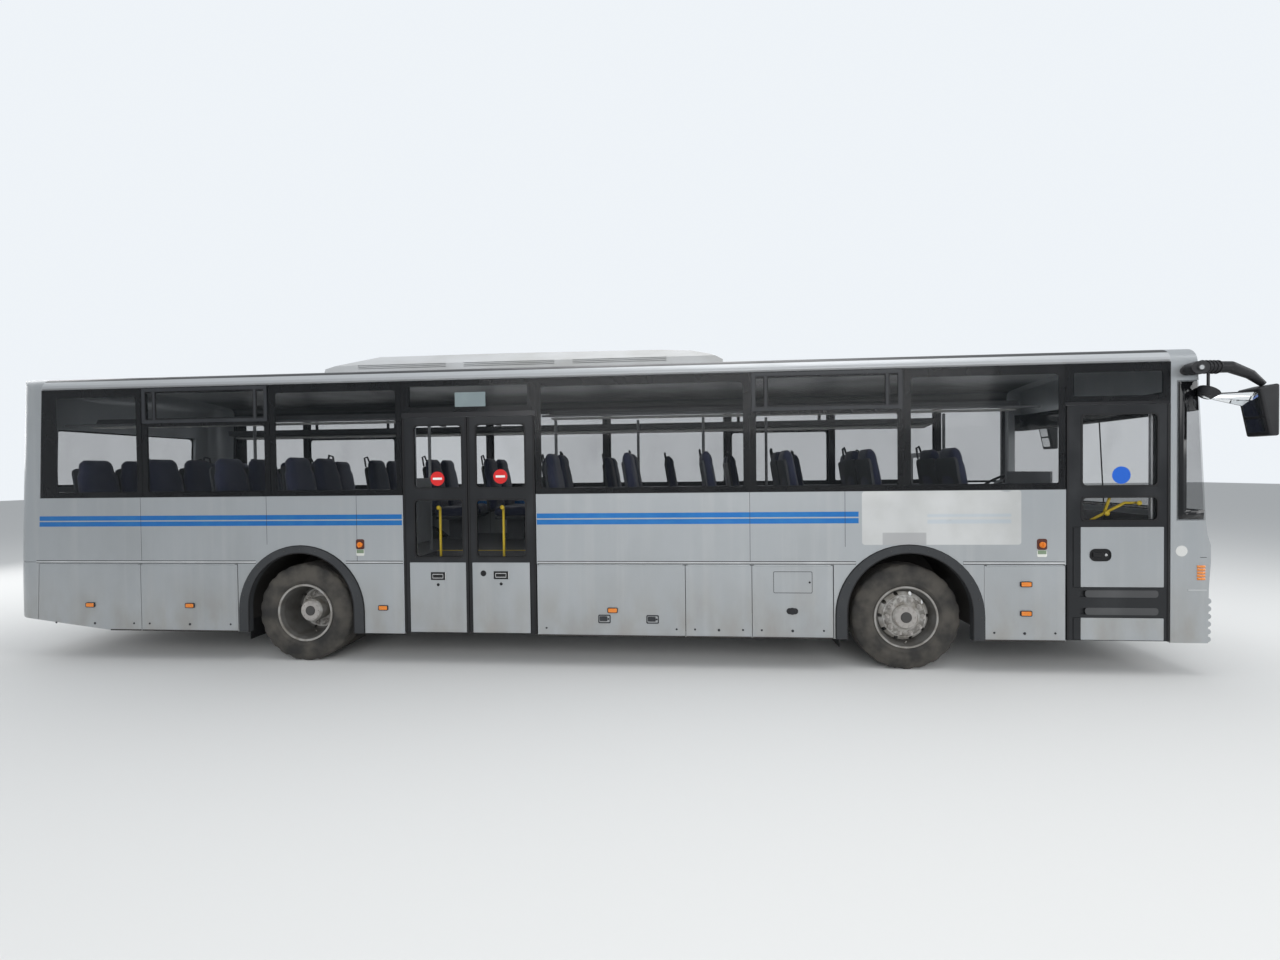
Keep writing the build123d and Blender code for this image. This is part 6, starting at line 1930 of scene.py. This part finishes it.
# Columns: place across, place up the face, radius, angle of the needle
dial_rows = [(0.555, 0.100, 0.052, 215.0), (0.725, 0.100, 0.052, 230.0), (0.640, 0.132, 0.024, 120.0),
             (0.640, 0.068, 0.024, 60.0), (0.465, 0.118, 0.024, 150.0), (0.815, 0.118, 0.024, 100.0)]
for y, t, radius, angle in dial_rows:
    plate(dials, circle(y, t, radius, 32), on_dash, 0.004, 0.0095)
    frame_ring(dial_rims, circle(y, t, radius + 0.004, 32), circle(y, t, radius, 32), on_dash, 0.006, 0.013)
    for k in range(9):
        a = math.radians(-30 + 30 * k)
        mark = [(y + r * math.cos(a) + q * math.sin(a), t + r * math.sin(a) - q * math.cos(a))
                for r, q in ((radius * 0.78, -0.001), (radius * 0.92, -0.001), (radius * 0.92, 0.001),
                             (radius * 0.78, 0.001))]
        plate(dial_rims, mark, on_dash, 0.0090, 0.0100)
    a = math.radians(angle)
    tip = (y + radius * 0.75 * math.cos(a), t + radius * 0.75 * math.sin(a))
    side = (0.002 * math.sin(a), -0.002 * math.cos(a))
    plate(needles, [(y - side[0], t - side[1]), (y + side[0], t + side[1]), tip], on_dash, 0.0098, 0.0112)
dial_face = Finish("dial_face", (0.012, 0.012, 0.014), 0.35)
dial_mark = Finish("dial_mark", (0.55, 0.55, 0.53), 0.4)
piece("dials", dials, dial_face, "root")
piece("dial_rims", dial_rims, dial_mark, "root")
piece("needles", needles, red_lens, "root")
switches = bmesh.new()
for row in range(2):
    for k in range(6):
        y = 0.875 + 0.022 * k
        plate(switches, rounded(y - 0.008, y + 0.008, 0.055 + 0.055 * row, 0.088 + 0.055 * row, 0.003),
              on_dash, 0.006, 0.014, 0.003)
    for k in range(4):
        y = 0.330 + 0.022 * k
        plate(switches, rounded(y - 0.008, y + 0.008, 0.055 + 0.055 * row, 0.088 + 0.055 * row, 0.003),
              on_dash, 0.006, 0.014, 0.003)
for y, lean in ((0.50, 0.0), (0.62, 0.0), (0.78, 0.02)):
    foot = Vector((at(8.19), y, 1.085))
    tube(switches, [foot + Vector((0.03, 0, 0.085)), foot + Vector((-0.03, 0, 0.04)), foot], 0.007, 8)
    brick(switches, (at(8.155), y - 0.035, 1.078 + lean), (at(8.195), y + 0.035, 1.100 + lean))
lever_foot = Vector((at(7.72), 0.33, 1.06))
tube(switches, [lever_foot, lever_foot + Vector((0.03, 0.01, 0.30)),
                lever_foot + Vector((0.02, 0.03, 0.50))], 0.011, 10)
tube(switches, [lever_foot + Vector((0.02, 0.03, 0.49)), lever_foot + Vector((0.018, 0.032, 0.56))], 0.026,
     16)
tube(switches, [lever_foot, lever_foot + Vector((0.008, 0.003, 0.08))], 0.055, 16)
piece("switches_pedals_and_lever", switches, rubber, "root", smooth=False)

# %% Steps, rails and lights inside
nosings = bmesh.new()
for x0, x1 in ((at(1.128), at(2.478)), (at(7.510), at(8.380))):
    for edge, tread in ((-1.229, 0.372), (-1.004, 0.6013), (-0.779, 0.8307), (-0.554, 1.060)):
        brick(nosings, (x0, edge, tread - 0.001), (x1, edge + 0.032, tread + 0.0035))
        for k in range(3):
            brick(nosings, (x0 + 0.004, edge + 0.004 + 0.010 * k, tread + 0.003),
                  (x1 - 0.004, edge + 0.008 + 0.010 * k, tread + 0.0050))
nosing_paint = moulded("nosing_paint", (0.50, 0.36, 0.03), 0.6, 200.0, 0.0006)
piece("step_nosings", nosings, nosing_paint, "root")

# Columns: body, points of the rail as station, height
door_rails = [
    ("front_door", [(7.700, 1.405), (8.060, 1.600), (8.160, 1.600)]),
    ("front_door", [(7.880, 1.503), (7.960, 1.745)]),
    ("mid_door_rear", [(1.470, 0.980), (1.470, 1.600)]),
    ("mid_door_front", [(2.135, 0.980), (2.135, 1.600)]),
]
for n, (body, points) in enumerate(door_rails):
    bm = bmesh.new()
    rail_y = -1.198
    path = [Vector((at(s), rail_y, z)) for s, z in points]
    tube(bm, path, 0.0125, 12)
    for end in (path[0], path[-1]):
        tube(bm, [end, Vector((end.x, -1.236, end.z))], 0.011, 10)
        tube(bm, [Vector((end.x, -1.233, end.z)), Vector((end.x, -1.238, end.z))], 0.022, 16)
    piece("door_rail_" + str(n + 1), bm, rail_paint, body, smooth=True)

light_strip = bmesh.new()
light_rounds = bmesh.new()
# Columns: side of the bus, rear and front station
light_runs = [(-1, -2.60, 1.02), (-1, 2.60, 7.20), (1, -2.60, 7.20)]
for sign, s0, s1 in light_runs:
    y0, y1 = sorted((sign * 0.915, sign * 1.035))
    brick(light_strip, (at(s0), y0, 2.500), (at(s1), y1, 2.516))
    seats_along = int((s1 - s0) / seat_pitch)
    for k in range(seats_along):
        x = at(s0) + seat_pitch * (k + 0.5)
        for shift in (-0.10, 0.10):
            plate(light_rounds, circle(x + shift, sign * 0.975, 0.028, 18), lambda u, v,
                  w: Vector((u, v, 2.50 - w)), -0.002, 0.006, 0.002)
pale_plastic = moulded("pale_cabin_plastic", (0.42, 0.42, 0.41), 0.5)
light_cover = Finish("light_cover", (0.70, 0.70, 0.66), 0.3)
piece("rack_strips", light_strip, pale_plastic, "root", bevel=0.003)
piece("reading_lights", light_rounds, light_cover, "root")

# %% [markdown]
# Below the floor hang ribbed rubber mud flaps behind the wheels, and straps go round
# the fuel tank and the silencer.

# %% Under the floor
flaps_bm = bmesh.new()
for wheel_x in (rear_axle.x, front_axle.x):
    for sign in (-1, 1):
        x = wheel_x - 0.636
        y0, y1 = sorted((sign * 0.84, sign * 1.20))
        brick(flaps_bm, (x, y0, 0.215), (x + 0.008, y1, 0.470))
        for k in range(6):
            y = y0 + 0.03 + (y1 - y0 - 0.06) * k / 5
            brick(flaps_bm, (x - 0.004, y - 0.004, 0.235), (x + 0.001, y + 0.004, 0.430))
piece("mud_flaps", flaps_bm, rubber, "root", bevel=0.0015)
straps = bmesh.new()
tank_low = (-1.19, 0.40)
tank_high = (-0.50, 0.865)
for s in (4.80, 5.22):
    outline = rounded(tank_low[0] - 0.004, tank_high[0] + 0.004, tank_low[1] - 0.004, tank_high[1] + 0.004,
                      0.074, 6)
    inner = rounded(tank_low[0] + 0.001, tank_high[0] - 0.001, tank_low[1] + 0.001, tank_high[1] - 0.001,
                    0.069, 6)
    frame_ring(straps, outline, inner, lambda u, v, w: Vector((at(s) + w, u, v)), -0.02, 0.02)
for x in (rear_axle.x - 1.75, rear_axle.x - 1.30):
    outline = circle(0.72, 0.64, 0.129, 32)
    inner = circle(0.72, 0.64, 0.124, 32)
    frame_ring(straps, outline, inner, lambda u, v, w: Vector((x + w, u, v)), -0.015, 0.015)
piece("tank_and_silencer_straps", straps, alloy, "root")
print("inside and underside dressed")
